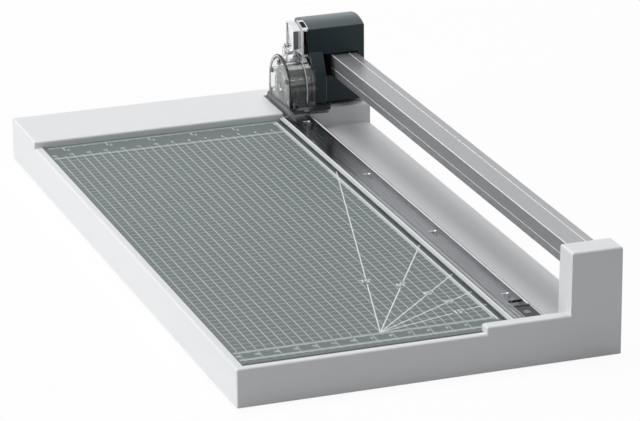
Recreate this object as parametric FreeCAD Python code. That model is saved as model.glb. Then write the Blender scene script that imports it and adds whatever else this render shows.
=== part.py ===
import FreeCAD, Part
import math
import os

# Paper trimmer with a rotary blade on a guide rail, in millimetres.
# The drawing frame has X = 0 at the cutting edge, Y = 0 at the front and Z = 0 under the housing.
# The finished pieces are moved so that the origin is under the middle of the base, at the feet.

V = FreeCAD.Vector

# Housing
BED_WIDTH = 168.0
LENGTH = 408.0
RIM_HEIGHT = 20.2
PLATEAU_RISE = 3.8
REAR_PLATEAU_DEPTH = 48.0
FRONT_STEP_DEPTH = 7.5
FRONT_STEP_REACH = 37.0
TOWER_HEIGHT = 57.0
TOWER_MARGIN = 5.8
TOWER_DEPTH = 15.6
RIGHT_MARGIN = 6.1
TOWER_DRAFT = 0.8
WALL = 2.6
CEILING = 2.4
SPINE_WALL = 1.2
CORNER_RADIUS = 0.8
TOP_RADIUS = 1.3
RIB_WIDTH = 1.8
RIBS_BETWEEN_PINS = 2
SINK = 0.5
PARKING_MARGIN = 4.0
SEAT_FLOOR_THICKNESS = 1.6
LEDGE_WIDTH = 3.0
LEDGE_SINK = 1.0

# Bottom plate, its screws and the feet
BOTTOM_PLATE = 2.0
BOTTOM_INSET = 0.4
PLATE_CLEARANCE = 0.25
FOOT_RADIUS = 8.0
FOOT_HEIGHT = 1.2
FOOT_INSET = 25.0
BOSS_RADIUS = 4.0
BOSS_INSET_X = 9.6
BOSS_INSET_Y = 24.0
BOTTOM_SCREW_RADIUS = 1.5
BOTTOM_SCREW_HEAD = 3.0
BOTTOM_SCREW_LENGTH = 9.0

# Measuring plate, bed strip and knife
LEFT_RIM = 4.4
FRONT_RIM = 4.0
PLATE_THICKNESS = 1.9
PLATE_SINK = 0.3
PLATE_FRONT_GAP = 1.2
BED_STRIP_EDGE = 12.0
KNIFE_WIDTH = 5.0
KNIFE_HEIGHT = 6.0
KNIFE_PROUD = 0.1
SEAT_GAP = 0.1
KNIFE_CHAMFER = 0.3
KNIFE_SCREW_COUNT = 5
KNIFE_SCREW_MARGIN = 22.0
KNIFE_SCREW_RISE = 1.0
KNIFE_BOSS_WIDTH = 6.0
KNIFE_BOSS_DEPTH = 2.0
KNIFE_SCREW_RADIUS = 1.2
KNIFE_SCREW_HEAD = 2.2
KNIFE_SCREW_LENGTH = 11.0

# Clear strip, its pins and springs
STRIP_LEFT = 21.2
STRIP_RIGHT = 3.4
STRIP_THICKNESS = 1.4
STRIP_BEVEL = 3.6
STRIP_EDGE = 0.4
STRIP_GAP = 1.0
STRIP_NOTCH = 34.7
STRIP_END_GAP = 1.5
MARK_GAP = 1.3
MARK_LENGTH = 2.4
MARK_WIDTH = 0.7
MARK_HEIGHT = 0.1
PIN_EDGE = 7.6
PIN_FRONT = 45.0
PIN_REAR = 15.0
PIN_COUNT = 4
PIN_TAIL = 3.0
PIN_RADIUS = 0.8
PIN_HEAD = 1.1
PIN_HOLE_GAP = 0.15
NUT_RADIUS = 1.3
NUT_THICKNESS = 0.8
NUT_GAP = 0.05
SEAT_RADIUS = 2.2
SEAT_FLOOR = 1.0
COIL_RADIUS = 1.6
COIL_WIRE = 0.35
COIL_TURNS = 4

# Front clip
CLIP_FRONT = 12.0
CLIP_LENGTH = 19.0
CLIP_RIGHT = 1.6
CLIP_MARGIN = 0.5
CLIP_THICKNESS = 0.6
CLIP_LIP = 0.4
CLIP_LIP_DEPTH = 1.6
CLIP_SCREW_RADIUS = 1.0
CLIP_SCREW_HEAD = 1.9
CLIP_SCREW_LENGTH = 4.4
CLIP_SCREW_SLOT = 0.5

# Guide rail and its sockets
RAIL_WIDTH = 15.5
RAIL_HEIGHT = 12.3
RAIL_COVER = 2.9
RAIL_WALL = 1.8
RAIL_EDGE = 0.5
RAIL_GROOVE = 0.5
RAIL_SIDE_GROOVE = 4.4
RAIL_TOP_GROOVE = 10.7
RAIL_INSET = 3.0
SOCKET_FLOOR = 4.0
SOCKET_GAP = 0.15
RAIL_SCREW_RADIUS = 2.0
RAIL_SCREW_HEAD = 3.5
RAIL_SCREW_HEAD_HEIGHT = 3.0
RAIL_SCREW_END = 2.0

# Head
HEAD_LEFT = 0.2
HEAD_MARGIN = 4.6
HEAD_PARKING = 43.0
HEAD_DEPTH = 26.0
HEAD_LIFT = 2.0
HEAD_OVER_RAIL = 19.9
HEAD_ARC = 30.0
HEAD_WALL = 2.0
HEAD_EDGE = 0.8
RAIL_WINDOW_LEFT = 8.9
RAIL_WINDOW_GAP = 1.1
GLIDE_THICKNESS = 2.2
GLIDE_DEPTH = 5.0
GLIDE_CLEARANCE = 0.12
GLIDE_INSET = 1.0
FRAME_LEFT_WALL = 1.0
FRAME_RIGHT_WALL = 3.1
FRAME_FRONT_WALL = 2.0
FRAME_GAP = 0.33
FRAME_TOP_PLATE = 3.4
FRAME_CAP = 2.0
FRAME_OVER_RAIL = 11.9
GLIDE_SCREW_RADIUS = 1.2
GLIDE_SCREW_HEAD = 2.2
GLIDE_SCREW_HEAD_HEIGHT = 1.6
GLIDE_SCREW_LENGTH = 5.4
HEAD_SCREW_RADIUS = 1.0
HEAD_SCREW_HEAD = 1.9
HEAD_SCREW_LENGTH = 8.0
HEAD_SCREW_FRONT = 8.5
HEAD_SCREW_REAR = 6.5
SHIELD_LEFT = 0.4
SHIELD_WIDTH = 8.1
SHIELD_GAP = 0.3
SHIELD_REACH = 7.3
SHIELD_LIFT = 1.2
SHIELD_OVER_AXLE = 20.7
SHIELD_ARC = 31.7
SHIELD_BEND = 20.0
SHIELD_EDGE = 0.9

# Cartridge
PRESS_TRAVEL = 2.8
AXLE_BEHIND_FRONT = 8.0
DRUM_RADIUS = 17.5
DRUM_WALL = 1.5
DRUM_LEFT = 15.8
FLANGE_RADIUS = 18.5
FLANGE_WIDTH = 1.4
DRUM_JOINT = 4.0
DRUM_RIGHT = 1.5
DRUM_FACE = 0.6
DRUM_BEAD = 0.5
DRUM_BEAD_WIDTH = 1.0
DRUM_GAP = 0.4
DRUM_RING_WIDTH = 1.0
DRUM_RING_HEIGHT = 0.6
FLANGE_EDGE = 0.5
AXLE_OVER_KNIFE = 16.5
AXLE_RADIUS = 1.5
AXLE_BOSS = 3.2
AXLE_BOSS_LENGTH = 3.0
AXLE_GROOVE = 0.3
AXLE_END = 0.15
RUNNING_GAP = 0.05
CLIP_RING_RADIUS = 2.6
CLIP_RING_WIDTH = 0.4
CLIP_RING_MOUTH = 1.8
SHELL_SCREW_CIRCLE = 14.3
SHELL_SCREW_BOSS = 1.9
SHELL_SCREW_RADIUS = 0.8
SHELL_SCREW_HEAD = 1.5
SHELL_SCREW_HEAD_HEIGHT = 0.7
SHELL_SCREW_LENGTH = 13.0
SHELL_SCREW_ANGLES = [25, 90, 155]
SHELL_SOCKET = 2.0
LUG_LENGTH = 4.4
LUG_HEIGHT = 4.0
LUG_SCREW = 2.4
LUG_SCREW_EDGE = 1.8
LUG_SCREW_LENGTH = 3.0
FOOT_PLATE = 2.9
FOOT_LIFT = 0.3
FOOT_LEFT = 17.6
FOOT_RIGHT = 10.0
FOOT_BAR_DEPTH = 8.6
FOOT_BEHIND_AXLE = 22.0
FOOT_BEFORE_AXLE = 17.0
FOOT_CORNER = 3.5
FOOT_LIP = 0.6
HORN_LENGTH = 17.0
HORN_WIDTH = 2.4
FOOT_GROOVE_LEFT = 14.2
FOOT_GROOVE_RIGHT = 6.2
FOOT_GROOVE_DEPTH = 1.2
BLADE_SLOT_LEFT = 0.7
BLADE_SLOT_END = 1.2
RECESS_GAP = 0.5
RECESS_DEPTH = 2.9
BLADE_RECESS_LEFT = 0.9
BLADE_RECESS_GAP = 0.8
ARM_LEFT = 9.9
ARM_RIGHT = 3.75
ARM_DEPTH = 11.6
ARM_RISE = 0.4
ARM_EDGE = 0.5
CARRIER_LEFT = 5.4
CARRIER_RIGHT_GAP = 0.6
CARRIER_BED_GAP = 0.2
CARRIER_DEPTH = 11.9
CARRIER_EDGE = 1.0
TONGUE_WIDTH = 5.0
TONGUE_OVER_AXLE = 13.5
TONGUE_GAP = 0.3
TEE_WIDTH = 10.0
TEE_THICKNESS = 5.0
TEE_LEFT = 3.4
GUIDE_GAP = 0.25

# Return spring
SPRING_RADIUS = 2.0
SPRING_WIRE = 0.6
SPRING_TURNS = 6
SPRING_UNDER_AXLE = 3.5
RETAINER_THICKNESS = 2.2
RETAINER_SCREW_EDGE = 1.0
RETAINER_SCREW_HEAD_HEIGHT = 1.2
RETAINER_SCREW_LENGTH = 7.2
RETAINER_SCREW_HOLE = 6.0

# Clear frame, black slot and latch on the head's left side
GUIDE_WIDTH = 3.8
GUIDE_OVER_AXLE = 18.7
GUIDE_DEPTH = 11.4
SLOT_WALL = 0.5
SLOT_RIGHT_WALL = 0.8
SLOT_LINTEL = 3.8
SLOT_BRIDGE = 0.6
SLOT_DEPTH = 4.0
SLOT_SILL = 1.0
TOP_SLOT_START = 2.5
TOP_SLOT_LENGTH = 6.0
LINER_GAP = 0.1
LINER_FRONT_GAP = 0.4
LINER_DROP = 0.3
LATCH_HEIGHT = 5.4
LATCH_DEPTH = 2.1
LATCH_SIDE_GAP = 0.2
LATCH_SILL_GAP = 0.1
LATCH_SINK = 0.15
LATCH_GROOVE = 0.4
LATCH_GROOVE_PITCH = 1.2
LATCH_GROOVE_COUNT = 3

# Catch
CATCH_RADIUS = 4.2
CATCH_THICKNESS = 3.6
CATCH_OVER_AXLE = 21.4
CATCH_BEHIND_FRONT = 3.5
CATCH_PIN_RADIUS = 1.0
CATCH_NOSE = 0.9
CATCH_NOSE_WIDTH = 2.4
CATCH_SIDE_GAP = 0.3
CATCH_EDGE = 0.4
CATCH_RIM = 1.2
CATCH_DISH = 0.8
CATCH_PIN_SINK = 0.2
CATCH_PIN_DEPTH = 3.0

# Blade
BLADE_RADIUS = 15.0
BLADE_THICKNESS = 0.4
BLADE_CLEARANCE = 0.05
BLADE_BEVEL = 1.2
BLADE_EDGE = 0.08
BLADE_BORE = 4.0
HUB_FLANGE = 8.0
HUB_FLANGE_WIDTH = 1.6
HUB_DRUM = 6.0
HUB_LENGTH = 10.4
HUB_SLEEVE = 0.7
CAP_RADIUS = 6.2
CAP_HOLE = 7.0

# Places worked out from the sizes above
REAR_EDGE = LENGTH - REAR_PLATEAU_DEPTH
FRAME_RIGHT = TEE_LEFT + TEE_THICKNESS + GUIDE_GAP + FRAME_RIGHT_WALL
RAIL_LEFT = FRAME_RIGHT + FRAME_GAP + GLIDE_THICKNESS + GLIDE_CLEARANCE
RAIL_RIGHT = RAIL_LEFT + RAIL_WIDTH
RAIL_MIDDLE = (RAIL_LEFT + RAIL_RIGHT) / 2
RAIL_TOP = TOWER_HEIGHT - RAIL_COVER
RAIL_BOTTOM = RAIL_TOP - RAIL_HEIGHT
TOWER_LEFT = RAIL_LEFT - TOWER_MARGIN
CHANNEL_WIDTH = RAIL_RIGHT + RIGHT_MARGIN
PLATEAU_HEIGHT = RIM_HEIGHT + PLATEAU_RISE
PLATE_TOP = RIM_HEIGHT - PLATE_SINK
PLATE_SEAT = PLATE_TOP - PLATE_THICKNESS
KNIFE_TOP = PLATE_TOP + KNIFE_PROUD
KNIFE_SEAT = KNIFE_TOP - KNIFE_HEIGHT
CHANNEL_FLOOR = KNIFE_SEAT - SEAT_FLOOR_THICKNESS
BOTTOM_TOP = BOTTOM_INSET + BOTTOM_PLATE
STRIP_BOTTOM = PLATE_TOP + STRIP_GAP
STRIP_TOP = STRIP_BOTTOM + STRIP_THICKNESS
HEAD_FRONT = LENGTH - HEAD_PARKING
HEAD_RIGHT = RAIL_RIGHT + HEAD_MARGIN
HEAD_TOP = RAIL_TOP + HEAD_OVER_RAIL
HEAD_REAR = HEAD_FRONT + HEAD_DEPTH
HEAD_MIDDLE = HEAD_FRONT + HEAD_DEPTH / 2
AXLE_Y = HEAD_FRONT + AXLE_BEHIND_FRONT
AXLE_HEIGHT = KNIFE_TOP + AXLE_OVER_KNIFE
FOOT_PLATE_BOTTOM = PLATEAU_HEIGHT + FOOT_LIFT
FOOT_TOP = FOOT_PLATE_BOTTOM + FOOT_PLATE
HEAD_BOTTOM = PLATEAU_HEIGHT + HEAD_LIFT
SHIELD_BOTTOM = FOOT_TOP + SHIELD_LIFT
SHIELD_TOP = AXLE_HEIGHT + SHIELD_OVER_AXLE
TONGUE_BOTTOM = AXLE_HEIGHT + TONGUE_OVER_AXLE
SPRING_SEAT = AXLE_HEIGHT - SPRING_UNDER_AXLE
GUIDE_BOTTOM = AXLE_HEIGHT + GUIDE_OVER_AXLE
CATCH_HEIGHT = AXLE_HEIGHT + CATCH_OVER_AXLE
FOOT_FRONT = AXLE_Y - FOOT_BEFORE_AXLE
FOOT_REAR = AXLE_Y + FOOT_BEHIND_AXLE
ARM_REAR = HEAD_FRONT + ARM_DEPTH
CARRIER_REAR = ARM_REAR + CARRIER_DEPTH
FRAME_TOP = RAIL_TOP + FRAME_OVER_RAIL
CARRIER_TOP = FRAME_TOP - FRAME_CAP
SLOT_HEIGHT = HEAD_TOP - SLOT_LINTEL - GUIDE_BOTTOM - SLOT_SILL
TEE_Y = ARM_REAR + CARRIER_DEPTH / 2
FOOT_PROUD = FOOT_HEIGHT - BOTTOM_INSET
ORIGIN = V((BED_WIDTH - CHANNEL_WIDTH) / 2, -LENGTH / 2, FOOT_PROUD)


def box(x, y, z):
    """Box between a pair of limits along each axis."""
    return Part.makeBox(x[1] - x[0], y[1] - y[0], z[1] - z[0], V(x[0], y[0], z[0]))


def rod_x(y, z, radius, start, end):
    return Part.makeCylinder(radius, end - start, V(start, y, z), V(1, 0, 0))


def rod_z(x, y, radius, start, end):
    return Part.makeCylinder(radius, end - start, V(x, y, start), V(0, 0, 1))


def prism(points, along):
    """Solid with a closed outline of points, pushed along a vector."""
    return Part.Face(Part.makePolygon(points + points[:1])).extrude(along)


def join(shapes):
    whole = shapes[0]
    for shape in shapes[1:]:
        whole = whole.fuse(shape)
    return whole.removeSplitter()


def cut(shape, tools):
    for tool in tools:
        shape = shape.cut(tool)
    return shape.removeSplitter()


def round_edges(shape, radius, wanted):
    """Round the edges whose bounding box passes the test."""
    edges = [edge for edge in shape.Edges if wanted(edge.BoundBox)]
    return shape.makeFillet(radius, edges)


def upright(bounds):
    return bounds.ZLength > 1 and bounds.XLength < 0.01 and bounds.YLength < 0.01


def at_height(height):
    return lambda bounds: abs(bounds.ZMin - height) < 0.01 and abs(bounds.ZMax - height) < 0.01


def countersunk_z(x, y, top, radius, head, length):
    """Countersunk screw pointing up, with its flat head's underside at the given height."""
    sink = head - radius
    return join([
        Part.makeCone(head, radius, sink, V(x, y, top), V(0, 0, 1)),
        rod_z(x, y, radius, top, top + length),
    ])


def pan_screw(place, direction, radius, head, head_height, length):
    """Pan-head screw: the head stands before the place, and the shank runs on from it."""
    away = V(direction)
    return join([
        Part.makeCylinder(head, head_height, place - away * head_height, away),
        Part.makeCylinder(radius, length, place, away),
    ])


def coil(radius, wire, turns, start, height, centre):
    """Coil spring along Z: one tube on a helix of quarter turns, with straight ends of one wire width."""
    rise = (height - wire) / (turns + wire / (math.pi * radius))
    steps = turns * 4
    base = start + (height - rise * turns) / 2

    def place(step):
        angle = step * math.pi / 2
        level = base + rise * step / 4
        return V(centre[0] + radius * math.cos(angle), centre[1] + radius * math.sin(angle), level)

    def tangent(step):
        angle = step * math.pi / 2
        run = radius * math.pi / 2
        return V(-math.sin(angle) * run, math.cos(angle) * run, rise / 4).normalize()

    edges = []
    first = place(0) - tangent(0) * wire
    edges.append(Part.LineSegment(first, place(0)).toShape())
    for step in range(steps):
        edges.extend(biarc(place(step), tangent(step), place(step + 1), tangent(step + 1)))
    last = place(steps)
    edges.append(Part.LineSegment(last, last + tangent(steps) * wire).toShape())
    path = Part.Wire(edges)
    circle = Part.Wire(Part.Circle(first, tangent(0), wire / 2).toShape())
    print("coil gap to itself", round(least_gap(place, steps, wire), 3))
    return Part.Solid(path.makePipeShell([circle], True, False).Shells[0])


def least_gap(place, steps, wire):
    """Smallest distance between the surfaces of neighbouring turns, taken on points of the helix."""
    points = [place(step / 4) for step in range(steps * 4 + 1)]
    turn = 16
    gaps = [
        points[i].distanceToPoint(points[j])
        for i in range(len(points))
        for j in range(i + turn // 2, len(points))
    ]
    return min(gaps) - wire


def biarc(start, start_way, end, end_way):
    """Two tangent arcs that join two points with the given directions."""
    chord = end - start
    ways = start_way + end_way
    a = 2 * (1 - start_way.dot(end_way))
    b = 2 * chord.dot(ways)
    c = -chord.dot(chord)
    reach = (-b + math.sqrt(b * b - 4 * a * c)) / (2 * a)
    first = start + start_way * reach
    second = end - end_way * reach
    middle = (first + second) * 0.5
    return [tangent_arc(start, start_way, middle), tangent_arc(end, end_way * -1, middle)]


def tangent_arc(start, way, end):
    """Arc from a point along a direction to another point."""
    chord = end - start
    side = chord - way * chord.dot(way)
    side.normalize()
    radius = chord.dot(chord) / (2 * chord.dot(side))
    centre = start + side * radius
    half = (start + end) * 0.5 - centre
    return Part.Arc(start, centre + half.normalize() * radius, end).toShape()


def tower(front, rear, mouth):
    """Outer block of the pedestal or the rear post: its left side and its rail side lean out downwards."""
    face = [
        V(TOWER_LEFT - TOWER_DRAFT, front, 0),
        V(CHANNEL_WIDTH, front, 0),
        V(CHANNEL_WIDTH, front, TOWER_HEIGHT),
        V(TOWER_LEFT, front, TOWER_HEIGHT),
    ]
    block = prism(face, V(0, rear - front, 0))
    if mouth > 0:
        side = [
            V(0, rear, TOWER_HEIGHT),
            V(0, rear, 0),
            V(0, rear + TOWER_DRAFT, 0),
        ]
    else:
        side = [
            V(0, front, TOWER_HEIGHT),
            V(0, front, 0),
            V(0, front - TOWER_DRAFT, 0),
        ]
    lean = prism(side, V(CHANNEL_WIDTH, 0, 0))
    lean = lean.common(prism([
        V(TOWER_LEFT - TOWER_DRAFT, -1, 0),
        V(CHANNEL_WIDTH, -1, 0),
        V(CHANNEL_WIDTH, -1, TOWER_HEIGHT),
        V(TOWER_LEFT, -1, TOWER_HEIGHT),
    ], V(0, LENGTH + 2, 0)))
    whole = join([block, lean])
    outer = front if mouth > 0 else rear
    whole = round_edges(whole, CORNER_RADIUS, lambda b: upright(b) and abs(b.YMin - outer) < 0.01
                        and abs(b.XMin - CHANNEL_WIDTH) < 0.01)
    return round_edges(whole, TOP_RADIUS, at_height(TOWER_HEIGHT))


def outer_form():
    """Everything that shows of the housing, before it is hollowed."""
    bed = box((-BED_WIDTH, 0), (0, LENGTH), (0, RIM_HEIGHT))
    bed = round_edges(bed, CORNER_RADIUS, lambda b: upright(b) and b.XMin < -1)
    bed = round_edges(bed, TOP_RADIUS, lambda b: at_height(RIM_HEIGHT)(b) and b.XMin < -1)
    channel = box((-BED_WIDTH / 2, CHANNEL_WIDTH), (0, LENGTH), (0, CHANNEL_FLOOR))
    channel = round_edges(channel, CORNER_RADIUS, lambda b: upright(b) and b.XMin > 1)
    channel = round_edges(channel, TOP_RADIUS, lambda b: at_height(CHANNEL_FLOOR)(b) and b.XMin > 1)
    rear = box((-BED_WIDTH, CHANNEL_WIDTH), (REAR_EDGE, LENGTH), (0, PLATEAU_HEIGHT))
    rear = round_edges(rear, CORNER_RADIUS, lambda b: upright(b) and b.YMin > REAR_EDGE + 1)
    rear = round_edges(rear, TOP_RADIUS, at_height(PLATEAU_HEIGHT))
    step = box((-FRONT_STEP_REACH, CHANNEL_WIDTH - CORNER_RADIUS), (0, FRONT_STEP_DEPTH), (0, PLATEAU_HEIGHT))
    step = round_edges(step, TOP_RADIUS / 2, lambda b: upright(b) and b.XMin < 0)
    step = round_edges(step, TOP_RADIUS,
                       lambda b: at_height(PLATEAU_HEIGHT)(b) and b.XMin < CHANNEL_WIDTH - 5)
    return join([bed, channel, rear, step, tower(0, TOWER_DEPTH, 1), tower(LENGTH - TOWER_DEPTH, LENGTH, -1)])


def spaced(count, start, end):
    """Evenly spaced places between two ends, both used."""
    return [start + (end - start) * i / (count - 1) for i in range(count)]


def screw_places():
    """Where the bottom plate is screwed to the housing."""
    left = -BED_WIDTH + BOSS_INSET_X
    middle = -BED_WIDTH / 2
    right = CHANNEL_WIDTH - BOSS_INSET_X
    rows = [BOSS_INSET_Y, LENGTH / 2, LENGTH - BOSS_INSET_Y]
    places = [(x, y) for x in (left, right) for y in rows]
    return places + [(middle, rows[0]), (middle, rows[2])]


def foot_places():
    return [
        (x, y)
        for x in (-BED_WIDTH + FOOT_INSET, CHANNEL_WIDTH - FOOT_INSET)
        for y in (FOOT_INSET, LENGTH / 2, LENGTH - FOOT_INSET)
    ]


def knife_screw_places():
    return spaced(KNIFE_SCREW_COUNT, FRONT_STEP_DEPTH + KNIFE_SCREW_MARGIN, REAR_EDGE - KNIFE_SCREW_MARGIN)


def pin_places():
    return spaced(PIN_COUNT, PIN_FRONT, REAR_EDGE - PIN_REAR)


def rib_places():
    """Ribs stand between the pins, clear of the pins and their rings."""
    parts = RIBS_BETWEEN_PINS + 1
    pins = pin_places()
    return [a + (b - a) * i / parts for a, b in zip(pins, pins[1:]) for i in range(1, parts)]


def ceiling_over(x, y):
    """Height of the cavity above a screw boss at this place."""
    if y > REAR_EDGE:
        return PLATEAU_HEIGHT - CEILING
    if x > 0:
        return CHANNEL_FLOOR - CEILING
    return PLATE_SEAT - CEILING


def foot_outline(grow, drop, rise):
    """Foot plate with its bar and front horn, between two heights, grown sideways by a gap."""
    left = -FOOT_LEFT - grow
    front = FOOT_FRONT - grow
    body = box((left, DRUM_RIGHT + grow), (front, FOOT_REAR + grow), (drop, rise))
    bar = box((left, FOOT_RIGHT + grow), (front, FOOT_FRONT + FOOT_BAR_DEPTH + grow), (drop, rise))
    tip = front - HORN_LENGTH + grow
    curve = Part.Arc(V(left + HORN_WIDTH, front, drop),
                     V(left + HORN_WIDTH * 0.75, front - HORN_LENGTH / 2, drop),
                     V(left, tip, drop)).toShape()
    side = Part.LineSegment(V(left, tip, drop), V(left, front, drop)).toShape()
    back = Part.LineSegment(V(left, front, drop), V(left + HORN_WIDTH, front, drop)).toShape()
    horn = Part.Face(Part.Wire([curve, side, back])).extrude(V(0, 0, rise - drop))
    return join([body, bar, horn])


def base_housing():
    inner_left = -BED_WIDTH + WALL
    inner_right = CHANNEL_WIDTH - WALL
    spine_left = -KNIFE_WIDTH - SPINE_WALL
    under_plate = PLATE_SEAT - CEILING
    under_channel = CHANNEL_FLOOR - CEILING
    under_rear = PLATEAU_HEIGHT - CEILING
    parking_left = -FOOT_LEFT - PARKING_MARGIN
    parking_right = FOOT_RIGHT + PARKING_MARGIN
    parking_ceiling = KNIFE_SEAT - SEAT_FLOOR_THICKNESS
    cavities = [
        box((inner_left, spine_left), (WALL, REAR_EDGE + WALL), (0, under_plate)),
        box((WALL, inner_right), (WALL, REAR_EDGE + WALL), (0, under_channel)),
        box((inner_left, parking_left), (REAR_EDGE + WALL, LENGTH - WALL), (0, under_rear)),
        box((parking_left, parking_right), (REAR_EDGE + WALL, LENGTH - WALL), (0, parking_ceiling)),
        box((parking_right, inner_right), (REAR_EDGE + WALL, LENGTH - WALL), (0, under_rear)),
    ]
    for front in (0, LENGTH - TOWER_DEPTH):
        cavities.append(box((TOWER_LEFT + WALL, inner_right), (front + WALL, front + TOWER_DEPTH - WALL),
                            (0, TOWER_HEIGHT - WALL)))
    plate_bed = box((-BED_WIDTH + LEFT_RIM, -KNIFE_WIDTH), (FRONT_RIM, REAR_EDGE),
                    (PLATE_SEAT, RIM_HEIGHT + 1))
    step_corner = box((-FRONT_STEP_REACH, 0), (0, FRONT_STEP_DEPTH), (0, RIM_HEIGHT + 1))
    knife_bed = box((-KNIFE_WIDTH, 1), (FRONT_STEP_DEPTH, REAR_EDGE), (KNIFE_SEAT, RIM_HEIGHT + 1))
    shape = cut(outer_form(), cavities + [plate_bed.cut(step_corner), knife_bed])

    ribs = [
        box((inner_left - SINK, spine_left + SINK), (y - RIB_WIDTH / 2, y + RIB_WIDTH / 2),
            (BOTTOM_TOP, under_plate + SINK))
        for y in rib_places()
    ]
    bosses = [rod_z(x, y, BOSS_RADIUS, BOTTOM_TOP, ceiling_over(x, y) + SINK) for x, y in screw_places()]
    knife_bosses = [
        box((-KNIFE_WIDTH - KNIFE_SCREW_LENGTH, spine_left + SINK),
            (y - KNIFE_BOSS_WIDTH / 2, y + KNIFE_BOSS_WIDTH / 2),
            (KNIFE_SEAT - KNIFE_BOSS_DEPTH, under_plate + SINK))
        for y in knife_screw_places()
    ]
    ledges = []
    for front in (0, LENGTH - TOWER_DEPTH):
        for x in (TOWER_LEFT + WALL - LEDGE_SINK, inner_right + LEDGE_SINK - LEDGE_WIDTH):
            ledges.append(box((x, x + LEDGE_WIDTH), (front + WALL - SINK, front + TOWER_DEPTH - WALL + SINK),
                              (BOTTOM_TOP, RAIL_BOTTOM - SOCKET_FLOOR)))
    shape = join([shape] + ribs + bosses + knife_bosses + ledges)

    holes = [
        rod_z(x, y, BOTTOM_SCREW_RADIUS, 0, BOTTOM_INSET + BOTTOM_SCREW_LENGTH) for x, y in screw_places()
    ]
    holes += [
        rod_x(y, knife_screw_height(), KNIFE_SCREW_RADIUS, -KNIFE_SCREW_LENGTH, 1)
        for y in knife_screw_places()
    ]
    for y in pin_places():
        holes.append(rod_z(-PIN_EDGE, y, PIN_RADIUS + PIN_HOLE_GAP, under_plate - 1, RIM_HEIGHT))
        holes.append(rod_z(-PIN_EDGE, y, SEAT_RADIUS, under_plate + SEAT_FLOOR, RIM_HEIGHT))
    clip_x, clip_y = clip_screw_place()
    holes.append(rod_z(clip_x, clip_y, CLIP_SCREW_RADIUS, under_plate - 1, RIM_HEIGHT))
    passage = rail_body(SOCKET_GAP, TOWER_DEPTH - WALL - 1, LENGTH - TOWER_DEPTH + WALL + 1)
    recess = foot_outline(RECESS_GAP, PLATEAU_HEIGHT - RECESS_DEPTH, PLATEAU_HEIGHT + 1)
    recess = recess.common(box((-BED_WIDTH, CHANNEL_WIDTH), (REAR_EDGE - 1, LENGTH), (0, TOWER_HEIGHT)))
    blade_slot = rod_x(AXLE_Y, AXLE_HEIGHT - PRESS_TRAVEL, BLADE_RADIUS + BLADE_RECESS_GAP,
                       -BLADE_RECESS_LEFT,
                       DRUM_RIGHT + RECESS_GAP)
    return cut(shape, holes + [passage, recess, blade_slot])


def knife_screw_height():
    return PLATE_SEAT - CEILING + KNIFE_SCREW_RISE


def bottom_plate():
    gap = PLATE_CLEARANCE
    plate = box((-BED_WIDTH + WALL + gap, CHANNEL_WIDTH - WALL - gap), (WALL + gap, LENGTH - WALL - gap),
                (BOTTOM_INSET, BOTTOM_TOP))
    spine = box((-KNIFE_WIDTH - SPINE_WALL - gap, WALL + gap), (0, REAR_EDGE + WALL + gap),
                (0, BOTTOM_TOP + 1))
    holes = [countersunk_z(x, y, BOTTOM_INSET, BOTTOM_SCREW_RADIUS + 0.2, BOTTOM_SCREW_HEAD + 0.2,
                           BOTTOM_PLATE)
             for x, y in screw_places()]
    return cut(plate, [spine] + holes)


def bottom_screws():
    return [countersunk_z(x, y, BOTTOM_INSET, BOTTOM_SCREW_RADIUS, BOTTOM_SCREW_HEAD, BOTTOM_SCREW_LENGTH)
            for x, y in screw_places()]


def rubber_feet():
    feet = []
    for x, y in foot_places():
        foot = rod_z(x, y, FOOT_RADIUS, BOTTOM_INSET - FOOT_HEIGHT, BOTTOM_INSET)
        feet.append(round_edges(foot, FOOT_HEIGHT / 4, at_height(BOTTOM_INSET - FOOT_HEIGHT)))
    return feet


def measuring_plate():
    gap = SEAT_GAP
    plate = box((-BED_WIDTH + LEFT_RIM + gap, -BED_STRIP_EDGE),
                (FRONT_RIM + PLATE_FRONT_GAP, REAR_EDGE - gap), (PLATE_SEAT, PLATE_TOP))
    return cut(plate, [box((-FRONT_STEP_REACH - gap, 0), (0, FRONT_STEP_DEPTH + gap), (0, RIM_HEIGHT))])


def bed_strip():
    gap = SEAT_GAP
    strip = box((-BED_STRIP_EDGE + gap, -KNIFE_WIDTH), (FRONT_STEP_DEPTH + gap, REAR_EDGE - gap),
                (PLATE_SEAT, PLATE_TOP))
    holes = [rod_z(-PIN_EDGE, y, SEAT_RADIUS, 0, RIM_HEIGHT) for y in pin_places()]
    x, y = clip_screw_place()
    return cut(strip, holes + [rod_z(x, y, CLIP_SCREW_RADIUS, 0, RIM_HEIGHT)])


def knife_screw(y, grow):
    """Countersunk screw that enters the knife from the channel side."""
    radius = KNIFE_SCREW_RADIUS + grow
    head = KNIFE_SCREW_HEAD + grow
    height = knife_screw_height()
    return join([
        Part.makeCone(head, radius, head - radius, V(0, y, height), V(-1, 0, 0)),
        rod_x(y, height, radius, -KNIFE_SCREW_LENGTH, 0),
    ])


def counter_blade():
    bar = box((-KNIFE_WIDTH, 0), (FRONT_STEP_DEPTH + SEAT_GAP, REAR_EDGE - SEAT_GAP), (KNIFE_SEAT, KNIFE_TOP))
    edges = [edge for edge in bar.Edges
             if at_height(KNIFE_TOP)(edge.BoundBox) and edge.BoundBox.XMax < -1]
    bar = bar.makeChamfer(KNIFE_CHAMFER, edges)
    return cut(bar, [knife_screw(y, 0.1) for y in knife_screw_places()])


def counter_blade_screws():
    return [knife_screw(y, 0) for y in knife_screw_places()]


def clip_screw_place():
    return (-(BED_STRIP_EDGE + CLIP_RIGHT) / 2, CLIP_FRONT + (CLIP_LENGTH - CLIP_LIP_DEPTH) / 2)


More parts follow.
